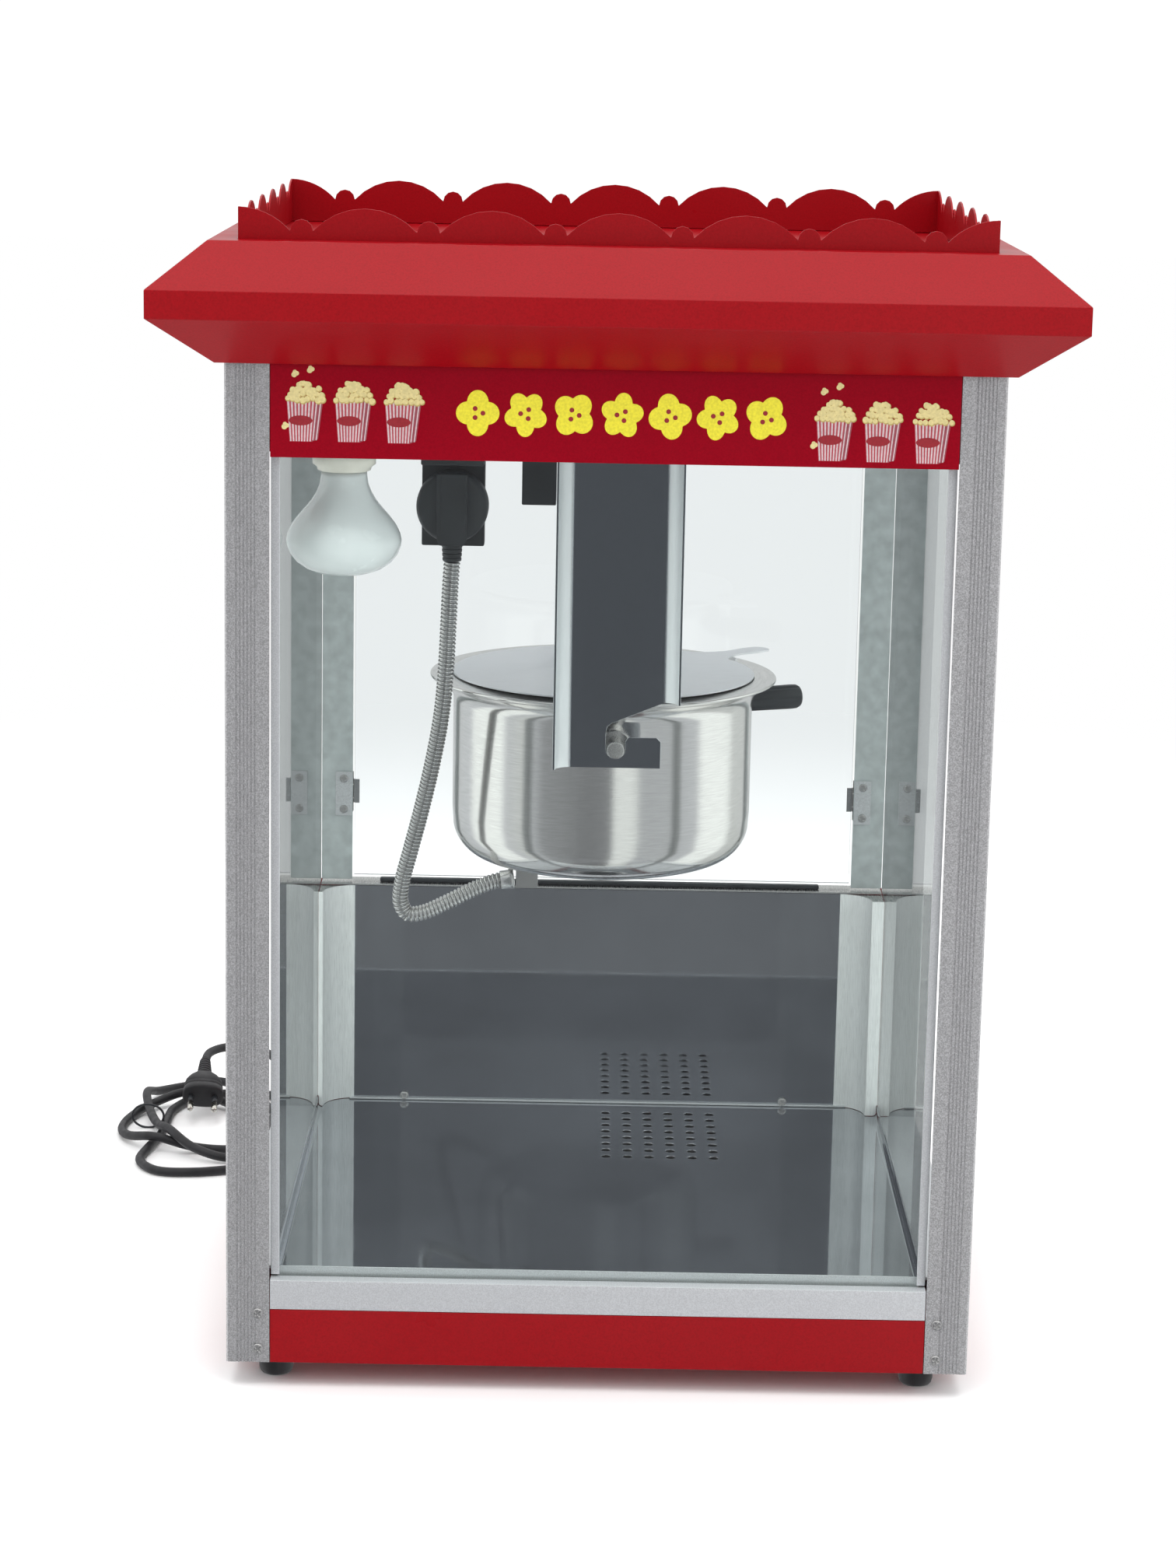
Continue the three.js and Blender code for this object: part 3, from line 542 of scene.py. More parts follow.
def mains_cord():
    path, length = smooth_path([Vector(p) * MM for p in CORD_ROUTE], 4 * MM)
    data = bpy.data.curves.new("mains_flex", "CURVE")
    data.dimensions = "3D"
    data.bevel_depth = CORD_R
    data.bevel_resolution = 5
    data.use_fill_caps = True
    spline = data.splines.new("POLY")
    spline.points.add(len(path) - 1)
    for point, place in zip(spline.points, path):
        point.co = (*place, 1.0)
    spline.use_smooth = True
    cord = add_object("mains_flex", data)
    put(cord, RUBBER, "cabinet", "black_rubber", "mains_cord")
    on_cord = [*mains_plug(), strain_relief(), cord_tie()]


mains_cord()

# ---------------------------------------------------------------- kettle lead
LEAD_R = 5.6
LEAD_ROUTE = [
    (-103.8, 125, 507.4), (-104.8, 126, 490), (-105.8, 128, 466), (-107, 131, 439), (-110, 137, 404),
    (-116, 145, 369), (-123.5, 153, 335), (-131, 160, 305), (-136.6, 164, 282), (-137.5, 166, 268),
    (-133, 167, 260), (-123, 167, 260.5), (-106, 168, 268), (-88, 170, 277), (-73, 172, 282.5),
    (-61.6, 173, 284),
]


def conduit():
    """Strip-wound steel conduit with its helical ridges; the faces down in each groove take a dark material,
    painted shade.
    """
    steps_per_ridge = 5
    pitch = 2.7
    route = [at(*p) for p in LEAD_ROUTE]
    path, length = smooth_path(route, pitch / steps_per_ridge * MM)
    ridge = (0.0, -0.12, -0.95, -1.05, -0.3)

    def radius_at(k, share):
        turn = (k + share * steps_per_ridge) % steps_per_ridge
        low = ridge[int(turn)]
        high = ridge[(int(turn) + 1) % steps_per_ridge]
        return (LEAD_R + low + (high - low) * (turn % 1.0)) * MM

    sides = 20
    lead = mesh_object("kettle_conduit", *tube_data(path, radius_at, sides), smooth=True)
    lead.data.materials.append(CONDUIT_STEEL)
    lead.data.materials.append(GROOVE_PAINTED_SHADE)
    # groove faces take the dark material: painted shade in the grooves
    for index, face in enumerate(lead.data.polygons[:(len(path) - 1) * sides]):
        k, i = divmod(index, sides)
        turn = (k + i / sides * steps_per_ridge) % steps_per_ridge
        face.material_index = 1 if 2.0 < turn < 3.4 else 0
    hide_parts("kettle_lead")
    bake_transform(lead)
    tuple(route[0])
    [tuple(p) for p in path[::4]]


conduit()


# ---------------------------------------------------------------- CAD nodes that stay
def keep(names, material, width=0.4 * MM):
    """Shows CAD nodes with a procedural material and softened edges."""
    for name in names:
        node = NODES[name]
        mesh = node.data
        mesh.materials.clear()
        mesh.materials.append(material)
        for attribute in ("custom_normal", "sharp_face", "sharp_edge"):
            if attribute in mesh.attributes:
                mesh.attributes.remove(mesh.attributes[attribute])
        weld = node.modifiers.new("weld", "WELD")
        weld.merge_threshold = 0.01 * MM
        if width:
            soften(node, width)


SIDES = ("left", "right")
HINGE_HEIGHTS = (293, 560)
CORNERS = ("front_left", "front_right", "rear_left", "rear_right")
keep(["base_tray", "base_rear_panel", "head_panel_left", "head_panel_right", "canopy", "roof_plate",
      "rear_fascia"], RED, 0.5 * MM)
keep(["crest_front", "crest_rear", "crest_left", "crest_right"], RED, 0.3 * MM)
keep(["sign_panel"], SIGN, 0.3 * MM)
keep([f"post_{c}" for c in CORNERS], ALU, 0.15 * MM)
keep(["front_rail", "side_rail_left", "side_rail_right"], RAIL_ALU, 0.35 * MM)
keep(["jamb_left", "jamb_right"], ZINC, 0.3 * MM)
keep(["front_glass", "side_glass_left", "side_glass_right"], PANE, 0.25 * MM)
keep(["door_left", "door_right"], DOOR_PANE, 0.3 * MM)
keep(["ceiling_plate"], WHITE, 0.4 * MM)
# the hangers' material paints a highlight on their rolled edges
keep(["hanger_front", "hanger_rear"], HANGER_PAINTED_HIGHLIGHT_STEEL, 0.3 * MM)
keep(["drive_shaft", "stirrer", "kettle_base_cover", "crumb_drawer"], PLAIN_STEEL, 0.4 * MM)
keep([f"hinge_plate_{s}_{level}" for s in SIDES for level in ("lower", "upper")], RAIL_ALU,
     0.5 * MM)
keep(["gearmotor"], CASTING, 0.8 * MM)
keep(["kettle_outlet", "limit_switch_box"], BLACK, 0.9 * MM)
keep(["switch_heat", "switch_motor", "switch_lamp"], SWITCH_BLACK, 0.5 * MM)

# ---------------------------------------------------------------- bin
BIN_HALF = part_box("bin_floor")[1].x / MM
FLOOR_H = 61
FRONT_GAP = 14.9
WALL_DEPTH = 389.5
SILL_H = 225
BEND = 22
FLOOR_BEND = 3
FLOOR_LIP = 8
CORNER_FILL = {"left": 2.6, "right": 8}
HOLES = {"columns": 6, "rows": 8, "x": 6, "depth": 363, "pitch_x": 15.4, "pitch_d": 15, "radius": 3.6}


def bin_floor():
    """Polished floor with low upturned sides and a block of round perforations."""
    h = HOLES
    xs = [h["x"] + (i - 0.5) * h["pitch_x"] for i in range(h["columns"] + 1)]
    ds = [h["depth"] - (h["rows"] - 0.5 - j) * h["pitch_d"] for j in range(h["rows"] + 1)]
    side = arc(-BIN_HALF + FLOOR_BEND, FLOOR_H + FLOOR_BEND, FLOOR_BEND, 180, 270, 6)
    profile = [(-BIN_HALF, FLOOR_H + FLOOR_LIP), *side, *[(x, FLOOR_H) for x in xs],
               *[(-x, z) for x, z in reversed(side)], (BIN_HALF, FLOOR_H + FLOOR_LIP)]
    depths = [FRONT_GAP, *ds, WALL_DEPTH - 0.3]
    first_x = 1 + len(side)
    work = bmesh.new()
    grid = [[work.verts.new(at(x, d, z)) for x, z in profile] for d in depths]
    for j in range(len(depths) - 1):
        for i in range(len(profile) - 1):
            corners = [grid[j][i], grid[j][i + 1], grid[j + 1][i + 1], grid[j + 1][i]]
            column = i - first_x
            if not (0 <= column < h["columns"] and 1 <= j <= h["rows"]):
                work.faces.new(corners)
                continue
            centre = Vector(((xs[column] + xs[column + 1]) / 2, (ds[j - 1] + ds[j]) / 2))
            ring = [work.verts.new(at(*(centre + Vector(p)), FLOOR_H))
                    for p in arc(0, 0, h["radius"], -135, 225 - 22.5, 15)]
            for q in range(4):
                part = [ring[(q * 4 + s) % 16] for s in range(5)]
                work.faces.new([corners[(q + 1) % 4], *reversed(part), corners[q]])
    mesh = bpy.data.meshes.new("bin_trough")
    work.normal_update()
    work.to_mesh(mesh)
    work.free()
    mesh.polygons.foreach_set("use_smooth", [True] * len(mesh.polygons))
    trough = add_object("bin_trough", mesh)
    solid = trough.modifiers.new("sheet", "SOLIDIFY")
    solid.thickness = 0.9 * MM
    solid.offset = -1.0
    solid.use_even_offset = True
    normals = trough.modifiers.new("normals", "WEIGHTED_NORMAL")
    normals.keep_sharp = True
    put(trough, MIRROR, "cabinet", "mirror_steel", "bin_floor")


def bin_wall():
    """Polished rear wall with satin flanges curved forward at its sides, painted near-white to stand in for
    their bright reflections, and a sill folded to the rear.
    """
    half = BIN_HALF - 0.6
    foot = FLOOR_H + 0.3

    def sheet(name, plan, material, *nodes):
        vertices = [at(x, d, h) for h in (foot, SILL_H) for x, d in plan]
        count = len(plan)
        faces = [(i, i + 1, count + i + 1, count + i) for i in range(count - 1)]
        piece = mesh_object(name, vertices, faces, smooth=count > 2)
        solid = piece.modifiers.new("sheet", "SOLIDIFY")
        solid.thickness = 0.9 * MM
        solid.offset = 0
        if count > 2:
            piece.modifiers.new("normals", "WEIGHTED_NORMAL")
        put(piece, material, "cabinet", "mirror_steel", *nodes)

    left, right = -half + CORNER_FILL["left"], half - CORNER_FILL["right"]
    face = WALL_DEPTH - 0.5
    sheet("bin_back_sheet", [(left + BEND, face), (right - BEND, face)], MIRROR, "bin_rear_wall")
    bends = {"left": arc(left + BEND, face - BEND, BEND, 180, 90, 18),
             "right": arc(right - BEND, face - BEND, BEND, 90, 0, 18)}
    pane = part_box("side_glass_right")[0].x / MM - 0.1
    under = arc(BIN_HALF - FLOOR_BEND, FLOOR_H + FLOOR_BEND, FLOOR_BEND - 0.3, 270, 360, 6)
    for side, s in (("left", -1), ("right", 1)):
        bend = bends[side]
        # the flanges and corner strips take the near-white steel: painted reflection
        sheet(f"bin_flange_{side}", bend, FLANGE_PAINTED_REFLECTION_STEEL)
        end = min(bend, key=lambda p: p[1])
        edge, lip = abs(end[0]), FLOOR_H + FLOOR_LIP + 0.3
        outline = [(edge, under[0][1]), *under, (under[-1][0], lip), (pane, lip), (pane, SILL_H),
                   (edge, SILL_H)]
        fitting(f"bin_corner_strip_{side}", prism_data(outline, lambda u, v, w: at(s * u, w, v), end[1] - 1.2,
                                                       end[1] - 0.2), FLANGE_PAINTED_REFLECTION_STEEL, "mirror_steel", 0.2)
        corner = [*(bend if side == "left" else reversed(bend)), (s * BIN_HALF, face), (s * BIN_HALF, end[1])]
        cap = mesh_object(f"bin_corner_cap_{side}", *prism_data(corner, at, SILL_H - 0.7, SILL_H - 0.1))
        put(cap, PLAIN_STEEL, "cabinet", "mirror_steel")
    front, low = WALL_DEPTH - 1.2, FLOOR_H + 0.1
    fitting("bin_sill", box_data(-BIN_HALF, BIN_HALF, front, 410.8, SILL_H + 0.1, SILL_H + 1.5), PLAIN_STEEL,
            "brushed_steel", 0.5)
    fitting("bin_floor_lip", box_data(-BIN_HALF + BEND, BIN_HALF - BEND, front - 2.4, front, low, low + 1.4),
            RAIL_ALU, "mirror_steel")
    fitting("bin_floor_apron", box_data(-BIN_HALF, BIN_HALF, FRONT_GAP - 0.2, FRONT_GAP + 0.8, FLOOR_H - 11,
                                        FLOOR_H + 0.3), RAIL_ALU, "mirror_steel", 0.3)
    fitting("door_stop_strip", box_data(-164.4, 161.4, 394.5, 400.5, SILL_H + 1.5, SILL_H + 4.7), BLACK,
            "black_plastic", 1.2, segments=3)


def glazing_beads():
    """Slim beads that cover the front edges of the side panes."""
    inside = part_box("side_glass_right")[0].x / MM
    for side, s in (("left", -1), ("right", 1)):
        x0, x1 = sorted((s * (inside - 1.6), s * (inside + 4.0)))
        fitting(f"glazing_bead_{side}", box_data(x0, x1, 8.3, 9.8, 57, 588), RAIL_ALU, "anodised_aluminium",
                0.5)


bin_floor()
bin_wall()
glazing_beads()


# ---------------------------------------------------------------- screws
def screw_data(centre, axis, radius, spin=20):
    """Pan-head cross-recess screw; the head stands along axis."""
    turn = turn_to(axis) @ Quaternion((0, 0, 1), math.radians(spin))
    rings = (0, 0.1, 0.2, 0.3, 0.42, 0.55, 0.68, 0.8, 0.9, 0.97, 1.0)
    sides = 40
    vertices, faces = [], []

    def height(share, a):
        dome = 0.42 * radius * (1 - share ** 4) ** 0.5 if share < 1 else 0.0
        u, v = abs(share * math.cos(a)), abs(share * math.sin(a))
        if (u < 0.13 and v < 0.62) or (v < 0.13 and u < 0.62):
            dome -= 0.3 * radius
        return dome

    for share in rings[1:]:
        for i in range(sides):
            a = math.tau * i / sides
            local = Vector((share * radius * math.cos(a), share * radius * math.sin(a), height(share, a)))
            vertices.append(turn @ (local * MM) + centre)
    top = len(vertices)
    vertices.append(turn @ (Vector((0, 0, height(0, 0))) * MM) + centre)
    count = len(rings) - 1
    for i in range(sides):
        j = (i + 1) % sides
        faces.append((top, i, j))
        for k in range(count - 1):
            faces.append((k * sides + i, (k + 1) * sides + i, (k + 1) * sides + j, k * sides + j))
    faces.append(tuple(range((count - 1) * sides, count * sides)))
    return vertices, faces


def screws(name, places, axis, radius, body="cabinet", material=None):
    rng = random.Random(name)
    parts = [screw_data(at(*p), axis, radius, rng.uniform(0, 90)) for p in places]
    piece = mesh_object(name, *merge_data(parts), smooth=True)
    return put(piece, material or PLAIN_STEEL, body, "brushed_steel")


REAR_DEPTH = (REAR_Y - FRONT_Y) / MM
POST_X = HALF_W / MM
screws("post_screws_front", [(s * (POST_X - 20.5), 0, h) for s in (-1, 1) for h in (33.5, 9.4)], (0, -1, 0),
       3.6)
screws("post_screws_rear", [(s * (POST_X - 20.5), REAR_DEPTH, h) for s in (-1, 1) for h in (33.5, 9.4, 620)],
       (0, 1, 0), 3.6)
for side, s in (("left", -1), ("right", 1)):
    screws(f"post_screws_{side}", [(s * POST_X, d, h) for d in (20.5, REAR_DEPTH - 20.5) for h in (33.5,
                                                                                                   9.4)],
           (s, 0, 0), 3.6)
    screws(f"head_panel_screws_{side}", [(s * POST_X, d, 618) for d in (50, REAR_DEPTH - 50)], (s, 0, 0), 3.2,
           material=RED)
screws("wall_seam_screws", [(x, WALL_DEPTH - 2.6, FLOOR_H + 3.2) for x in (-144.7, 138.4)], (0, -1, 0), 3.3)
screws("hinge_plate_screws", [(s * 191.5, 394.2, h + dh) for s in (-1, 1) for h in HINGE_HEIGHTS
                               for dh in (-11.5, 11.5)],
       (0, -1, 0), 3.1)
screws("rear_panel_screws", [(x, REAR_DEPTH, h) for x in (-196, 196) for h in (26, 118, 212)], (0, 1, 0), 3.4)
screws("fascia_screws", [(x, REAR_DEPTH, 617) for x in (-190, 190)], (0, 1, 0), 3.4)
screws("roof_screws", [(x, d, 710) for x in (-190, 0, 190) for d in (26, REAR_DEPTH - 26)], (0, 0, 1), 3.6)


# ---------------------------------------------------------------- kettle
KETTLE = {"x": -3, "depth": 207, "r": 101.5, "bottom": 295, "rim": 421, "rim_r": 117.5}


def kettle_bowl():
    b, rim, r = KETTLE["bottom"], KETTLE["rim"], KETTLE["r"]
    outer = [(0, b), *arc(r - 26, b + 25.5, 25.5, 270, 350, 16), (r, b + 34), (r, rim - 17),
             (r + 0.5, rim - 14.5), (r + 2.4, rim - 10.6), (r + 6.4, rim - 6.6), (r + 11, rim - 4),
             (KETTLE["rim_r"] - 0.6, rim - 2.2), *arc(KETTLE["rim_r"] - 0.9, rim - 1.3, 0.9, -60, 100, 6)]
    inner = [(r + 9, rim - 1.5), (r + 2, rim - 0.3), (r - 1.2, rim - 0.9), (r - 1.4, rim - 4),
             (r - 1.5, b + 34), *arc(r - 26, b + 25.5, 24, 350, 270, 16), (0, b + 1.5)]
    centre = at(KETTLE["x"], KETTLE["depth"], 0)
    bowl = lathe("kettle_shell", outer + inner, centre, segments=192)
    put(bowl, KETTLE_STEEL, "kettle", "brushed_steel", "kettle_bowl")
    bowl_pins = []
    for s in (-1, 1):
        profile = [(0, 100.4), (10, 100.4), (10, 108.6), (9.2, 109.4), (5.8, 109.5), (5.8, 127.7),
                   (5.1, 128.4), (0, 128.5)]
        bowl_pins.append(lathe_data(profile, 48, at(5, KETTLE["depth"], 392.9), (0, s, 0)))
    fitting("kettle_trunnions", merge_data(bowl_pins), PLAIN_STEEL, "brushed_steel", 0.25, "kettle")


def lid():
    """Two-piece lid: a fixed left half, and a right half that lifts on small butt hinges."""
    low, high, r, hole, notch = KETTLE["rim"] + 0.3, KETTLE["rim"] + 1.5, 102.5, 8.0, 12.0
    axis_x, hinge_y, hinge_half, barrel = 1.3, 62.0, 12.0, 1.1

    def place(u, v, w):
        return at(KETTLE["x"] + u, KETTLE["depth"] + v, w)

    def pocket(y, edge, inner):
        """Recess for a hinge barrel in a straight edge that runs towards +Y."""
        reach = hinge_half + 0.4
        return [(edge, y - reach), (inner, y - reach), (inner, y + reach), (edge, y + reach)]

    split = 1.0
    a_out = math.degrees(math.acos(split / r))
    a_in = math.degrees(math.acos(split / hole))
    left = (arc(0, 0, r, a_out, 360 - a_out, 90) + pocket(-hinge_y, split, axis_x - barrel - 0.3)
            + arc(0, 0, hole, 360 - a_in, a_in, 14) + pocket(hinge_y, split, axis_x - barrel - 0.3))
    fitting("lid_half_fixed", prism_data(left, place, low, high), LID_STEEL, "brushed_steel", 0.3, "kettle",
            ["lid_fixed_half"])

    split = 1.6
    a_out = math.degrees(math.acos(split / r))
    a_in = math.degrees(math.acos(split / notch))
    middle, tab_half = 42, 9.0
    root = math.degrees(math.asin((tab_half + 8) / r))
    turn = Matrix.Rotation(math.radians(middle), 2)
    neck = [(r + 4, -tab_half - 4.2), (r + 10, -tab_half - 1), (r + 18, -7.4), (r + 28, -7.6), (r + 37, -8.6)]
    neck_low = [tuple(turn @ Vector(p)) for p in neck]
    tip = [tuple(turn @ Vector(p)) for p in arc(146, 0, 9, -62, 62, 12)]
    neck_high = [tuple(turn @ Vector((x, -y))) for x, y in reversed(neck)]
    right = (arc(0, 0, r, -a_out, middle - root, 50) + neck_low + tip + neck_high
             + arc(0, 0, r, middle + root, a_out, 20) + pocket(hinge_y, split, axis_x + barrel + 0.3)[::-1]
             + arc(0, 0, notch, a_in, -a_in, 14) + pocket(-hinge_y, split, axis_x + barrel + 0.3)[::-1])
    fitting("lid_half_lifting", prism_data(right, place, low, high), LID_STEEL, "brushed_steel", 0.3,
            "lid_flap", ["lid_flap"])

    fixed, moving = [], []
    leaf = barrel + 0.3
    for y in (-hinge_y, hinge_y):
        for lo, hi, side, s in ((-12, -4.2, fixed, -1), (-3.8, 3.8, moving, 1), (4.2, 12, fixed, -1)):
            side.append(lathe_data([(0, lo), (barrel, lo), (barrel, hi), (0, hi)], 20, place(axis_x, y, high),
                                   (0, 1, 0)))
            x0, x1 = sorted((axis_x + s * 0.5, axis_x + s * (leaf + 0.4)))
            side.append(prism_data([(x0, y + lo), (x1, y + lo), (x1, y + hi), (x0, y + hi)], place,
                                   high + 0.1, high + 0.75))
        for side, s in ((fixed, -1), (moving, 1)):
            x0, x1 = sorted((axis_x + s * leaf, axis_x + s * 14))
            side.append(prism_data([(x0, y - hinge_half), (x1, y - hinge_half), (x1, y + hinge_half),
                                    (x0, y + hinge_half)], place, high + 0.02, high + 0.8))
    for name, side, body in (("fixed", fixed, "kettle"), ("moving", moving, "lid_flap")):
        fitting(f"lid_hinge_{name}", merge_data(side), PLAIN_STEEL, "brushed_steel", 0.2, body)


def kettle_handle():
    """Fluted black grip on the right rear of the bowl."""
    angle = math.radians(24)
    axis = Vector((math.cos(angle), math.sin(angle), 0))
    across = Vector((-math.sin(angle), math.cos(angle), 0))
    origin = at(KETTLE["x"], KETTLE["depth"], 396)
    sections = [(102, 6.4), (102.6, 7.6), (106, 7.9), (107, 7.4), (109, 7.4), (110, 8.2), (144, 8.5),
                (147.5, 8.3), (149.2, 7.4), (149.8, 6.0)]
    sides, vertices = 72, []
    for along, r in sections:
        for i in range(sides):
            a = math.tau * i / sides
            flute = 1 - 0.075 * max(0.0, math.cos(6 * a)) ** 3 if 109 < along < 148 else 1.0
            offset = across * (r * 1.04 * flute * math.cos(a)) + Vector((0, 0, r * flute * math.sin(a)))
            vertices.append(origin + (axis * along + offset) * MM)
    grip = mesh_object("kettle_grip", vertices, stitch(len(sections), sides), smooth=True)
    put(grip, BLACK, "kettle", "black_plastic", "kettle_handle")


kettle_bowl()
lid()
kettle_handle()


# ---------------------------------------------------------------- lamp, plug and entry fittings
def lamp():
    f, r = 507.6, 36.5
    profile = [(0, f), (8, f + 0.3), (16, f + 1.5), (24, f + 4.4), (30, f + 8.6), (34, f + 13.6),
               (36.2, f + 19.2), (r, f + 23), (35.6, f + 27), (33, f + 32.5), (29, f + 37.8), (24.4, f + 43),
               (20.4, f + 48), (17.4, f + 53), (15.4, f + 58), (14.6, f + 63), (14.4, f + 66), (0, f + 66)]
    centre = at(-170, 60, 0)
    put(lathe("lamp_bulb", profile, centre), BULB, "cabinet", "frosted_glass", "heat_lamp")
    top = 599.7
    socket = [(0, f + 66.3), (15, f + 66.3), (16.8, f + 67), (17.4, f + 69), (20, f + 71), (20, f + 76),
              (19.2, f + 76.6), (19.2, f + 78.4), (20, f + 79), (20, top - 6), (23.4, top - 3.6),
              (24, top - 2.8), (24, top), (0, top)]
    put(lathe("lamp_holder", socket, centre), CERAMIC, "cabinet", "ceramic", "lamp_socket")


def lead_plug():
    """Round moulded plug with a raised spine and a ribbed boot."""
    x, depth, h = -103.8, 127, 544
    front = depth - 11
    high, low = 566, 527
    face = [(0, -11), (15, -11), (20.5, -10.8), (22.4, -9.6), (23.3, -7.4), (23.5, -4), (23.5, 7),
            (22.8, 9.6), (20.8, 11), (0, 11)]
    disc = lathe_data(face, 96, at(x, depth, h), (0, 1, 0))

    spine_outline = [(-9.6, 523), (-7.6, 519.6), (7.6, 519.6), (9.6, 523), (10, high), (-10, high)]
    spine = prism_data(spine_outline, lambda u, v, w: at(x + u, w, v), front - 3.8, front + 8)
    side_ribs = [prism_data([(u - 0.5, low), (u + 0.5, low), (u + 0.5, high), (u - 0.5, high)],
                            lambda a, b, c: at(x + a, c, b), front - 4.0, front) for u in (-7.4, 8.6)]
    rings = [(0, 508), (5.7, 508)]
    for i in range(4):
        z = 508.2 + i * 2.9
        rings += [(6.1 + 0.2 * i, z), (6.3 + 0.2 * i, z + 1.9), (5.8 + 0.2 * i, z + 2.1),
                  (5.8 + 0.2 * i, z + 2.8)]
    rings += [(7.4, 520.4), (7.9, 523), (0, 523)]
    boot = lathe_data(rings, 40, at(x, depth - 2, 0))
    plug = mesh_object("lead_plug", *merge_data([disc, spine, boot, *side_ribs]), smooth=True)
    soften(plug, 0.5 * MM, 2, 40)
    put(plug, BLACK, "cabinet", "black_plastic", "kettle_plug")
    clip = [box_data(x + 12, x + 19.5, front - 1.4, front + 1.9, 588, 595),
            box_data(x + 13, x + 17.5, front - 2.6, front + 1.9, 580, 586)]
    fitting("outlet_clip", merge_data(clip), PLAIN_STEEL, "brushed_steel", 0.8)


def lead_ferrule():
    """Crimped ferrule where the conduit enters the kettle's base cover."""
    route = [at(*p) for p in LEAD_ROUTE]
    axis = (route[-1] - route[-2]).normalized()
    profile = [(5.65, -9), (6.5, -8.6), (6.5, -3), (7.0, -2.6), (7.0, 0.4), (5.65, 0.5)]
    ferrule = lathe("lead_ferrule", profile, route[-1], axis, 48)
    put(ferrule, CONDUIT_STEEL, "kettle", "steel_conduit")


lamp()
lead_plug()
lead_ferrule()


# ---------------------------------------------------------------- feet, doors and switches
def feet():
    for corner in CORNERS:
        low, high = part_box(f"foot_{corner}")
        centre = Vector(((low.x + high.x) / 2, (low.y + high.y) / 2, 0))
        top = (high.z - low.z) / MM
        profile = [(0, 0), (8.6, 0), (9.6, 0.3), (10.6, 1.4), (11.2, 4), (11.9, top - 2), (12, top), (0, top)]
        foot = lathe(f"rubber_foot_{corner}", profile, centre, segments=48)
        put(soften(foot, 0.3 * MM), RUBBER, "cabinet", "black_rubber", f"foot_{corner}")


DOOR = {"hinge_x": 187, "depth": 404, "rear": 406}


def doors():
    """Hinge leaves, knuckles and a turned knob on each rear door."""
    for side, s in (("left", -1), ("right", 1)):
        body = f"door_{side}"
        leaves, fixed = [], []
        for h in HINGE_HEIGHTS:
            for lo, hi, group in ((-15, -5.3, fixed), (-4.8, 4.8, leaves), (5.3, 15, fixed)):
                barrel = [(0, lo), (2.2, lo), (2.2, hi), (0, hi)]
                group.append(lathe_data(barrel, 24, at(s * DOOR["hinge_x"], DOOR["depth"], h)))
            x0, x1 = sorted((s * 180.5, s * 185))
            leaves.append(box_data(x0, x1, DOOR["rear"] + 0.05, DOOR["rear"] + 1.1, h - 9, h + 9))
        fitting(f"door_hinge_leaf_{side}", merge_data(leaves), PLAIN_STEEL, "brushed_steel", 0.25, body)
        fitting(f"door_hinge_knuckle_{side}", merge_data(fixed), PLAIN_STEEL, "brushed_steel", 0.25)
        screws(f"door_hinge_screws_{side}", [(s * 182.5, DOOR["rear"] + 1.1, h + dh) for h in HINGE_HEIGHTS
                                             for dh in (-6, 6)], (0, 1, 0), 1.2, body)
        profile = [(0, 0.1), (5, 0.1), (5, 3), (4, 5), (4.4, 9), (7.6, 12.4), (9, 15), (9, 18.4), (7.6, 20.4),
                   (4, 21.4), (0, 21.6)]
        knob = lathe(f"door_knob_{side}", profile, at(s * 16, DOOR["rear"], 408), (0, 1, 0), 48)
        put(knob, BLACK, body, "black_plastic")


def switch_bezels():
    spacing, height = 46, 617
    outer_x, outer_z, inner_x, inner_z = 12.6, 16.4, 10.1, 13.7
    bars = [(-outer_x, outer_x, inner_z, outer_z), (-outer_x, outer_x, -outer_z, -inner_z),
            (-outer_x, -inner_x, -inner_z, inner_z), (inner_x, outer_x, -inner_z, inner_z)]
    for i, use in enumerate(("heat", "motor", "lamp")):
        x = (i - 1) * spacing
        bezel = [box_data(x + x0, x + x1, REAR_DEPTH + 0.05, REAR_DEPTH + 1.6, height + z0, height + z1)
                 for x0, x1, z0, z1 in bars]
        fitting(f"switch_bezel_{use}", merge_data(bezel), SWITCH_BLACK, "black_plastic", 0.35)


feet()
doors()
switch_bezels()


# ---------------------------------------------------------------- sign
CREAM = ink("popcorn_ink", (0.72, 0.62, 0.28))
CREAM_SHADE = ink("popcorn_shade_ink", (0.5, 0.38, 0.12))
TUB_WHITE = ink("tub_white_ink", (0.62, 0.48, 0.5))
TUB_RED = ink("tub_red_ink", (0.42, 0.05, 0.07))
TUB_SIDE = ink("tub_side_ink", (0.3, 0.06, 0.08))
LABEL_RED = ink("tub_label_ink", (0.3, 0.01, 0.02))
YELLOW = ink("yellow_ink", (0.8, 0.72, 0.03))
INK_STEP = 0.05
OVERPRINT = 0.0015       # each shape of a layer lies this much over the one before it


def printed(name, shapes, layer, material):
    """Flat printed shapes a hair's breadth proud of the sign."""
    face = -layer * INK_STEP
    parts = [prism_data(shape, lambda u, v, w: at(u, w, v), face - INK_STEP - k * OVERPRINT, face)
             for k, shape in enumerate(shapes)]
    put(mesh_object(name, *merge_data(parts)), material, "cabinet", "sign_print")


def disc_outline(x, z, radius, sides=14):
    return [(x + radius * math.cos(math.tau * i / sides), z + radius * math.sin(math.tau * i / sides))
            for i in range(sides)]


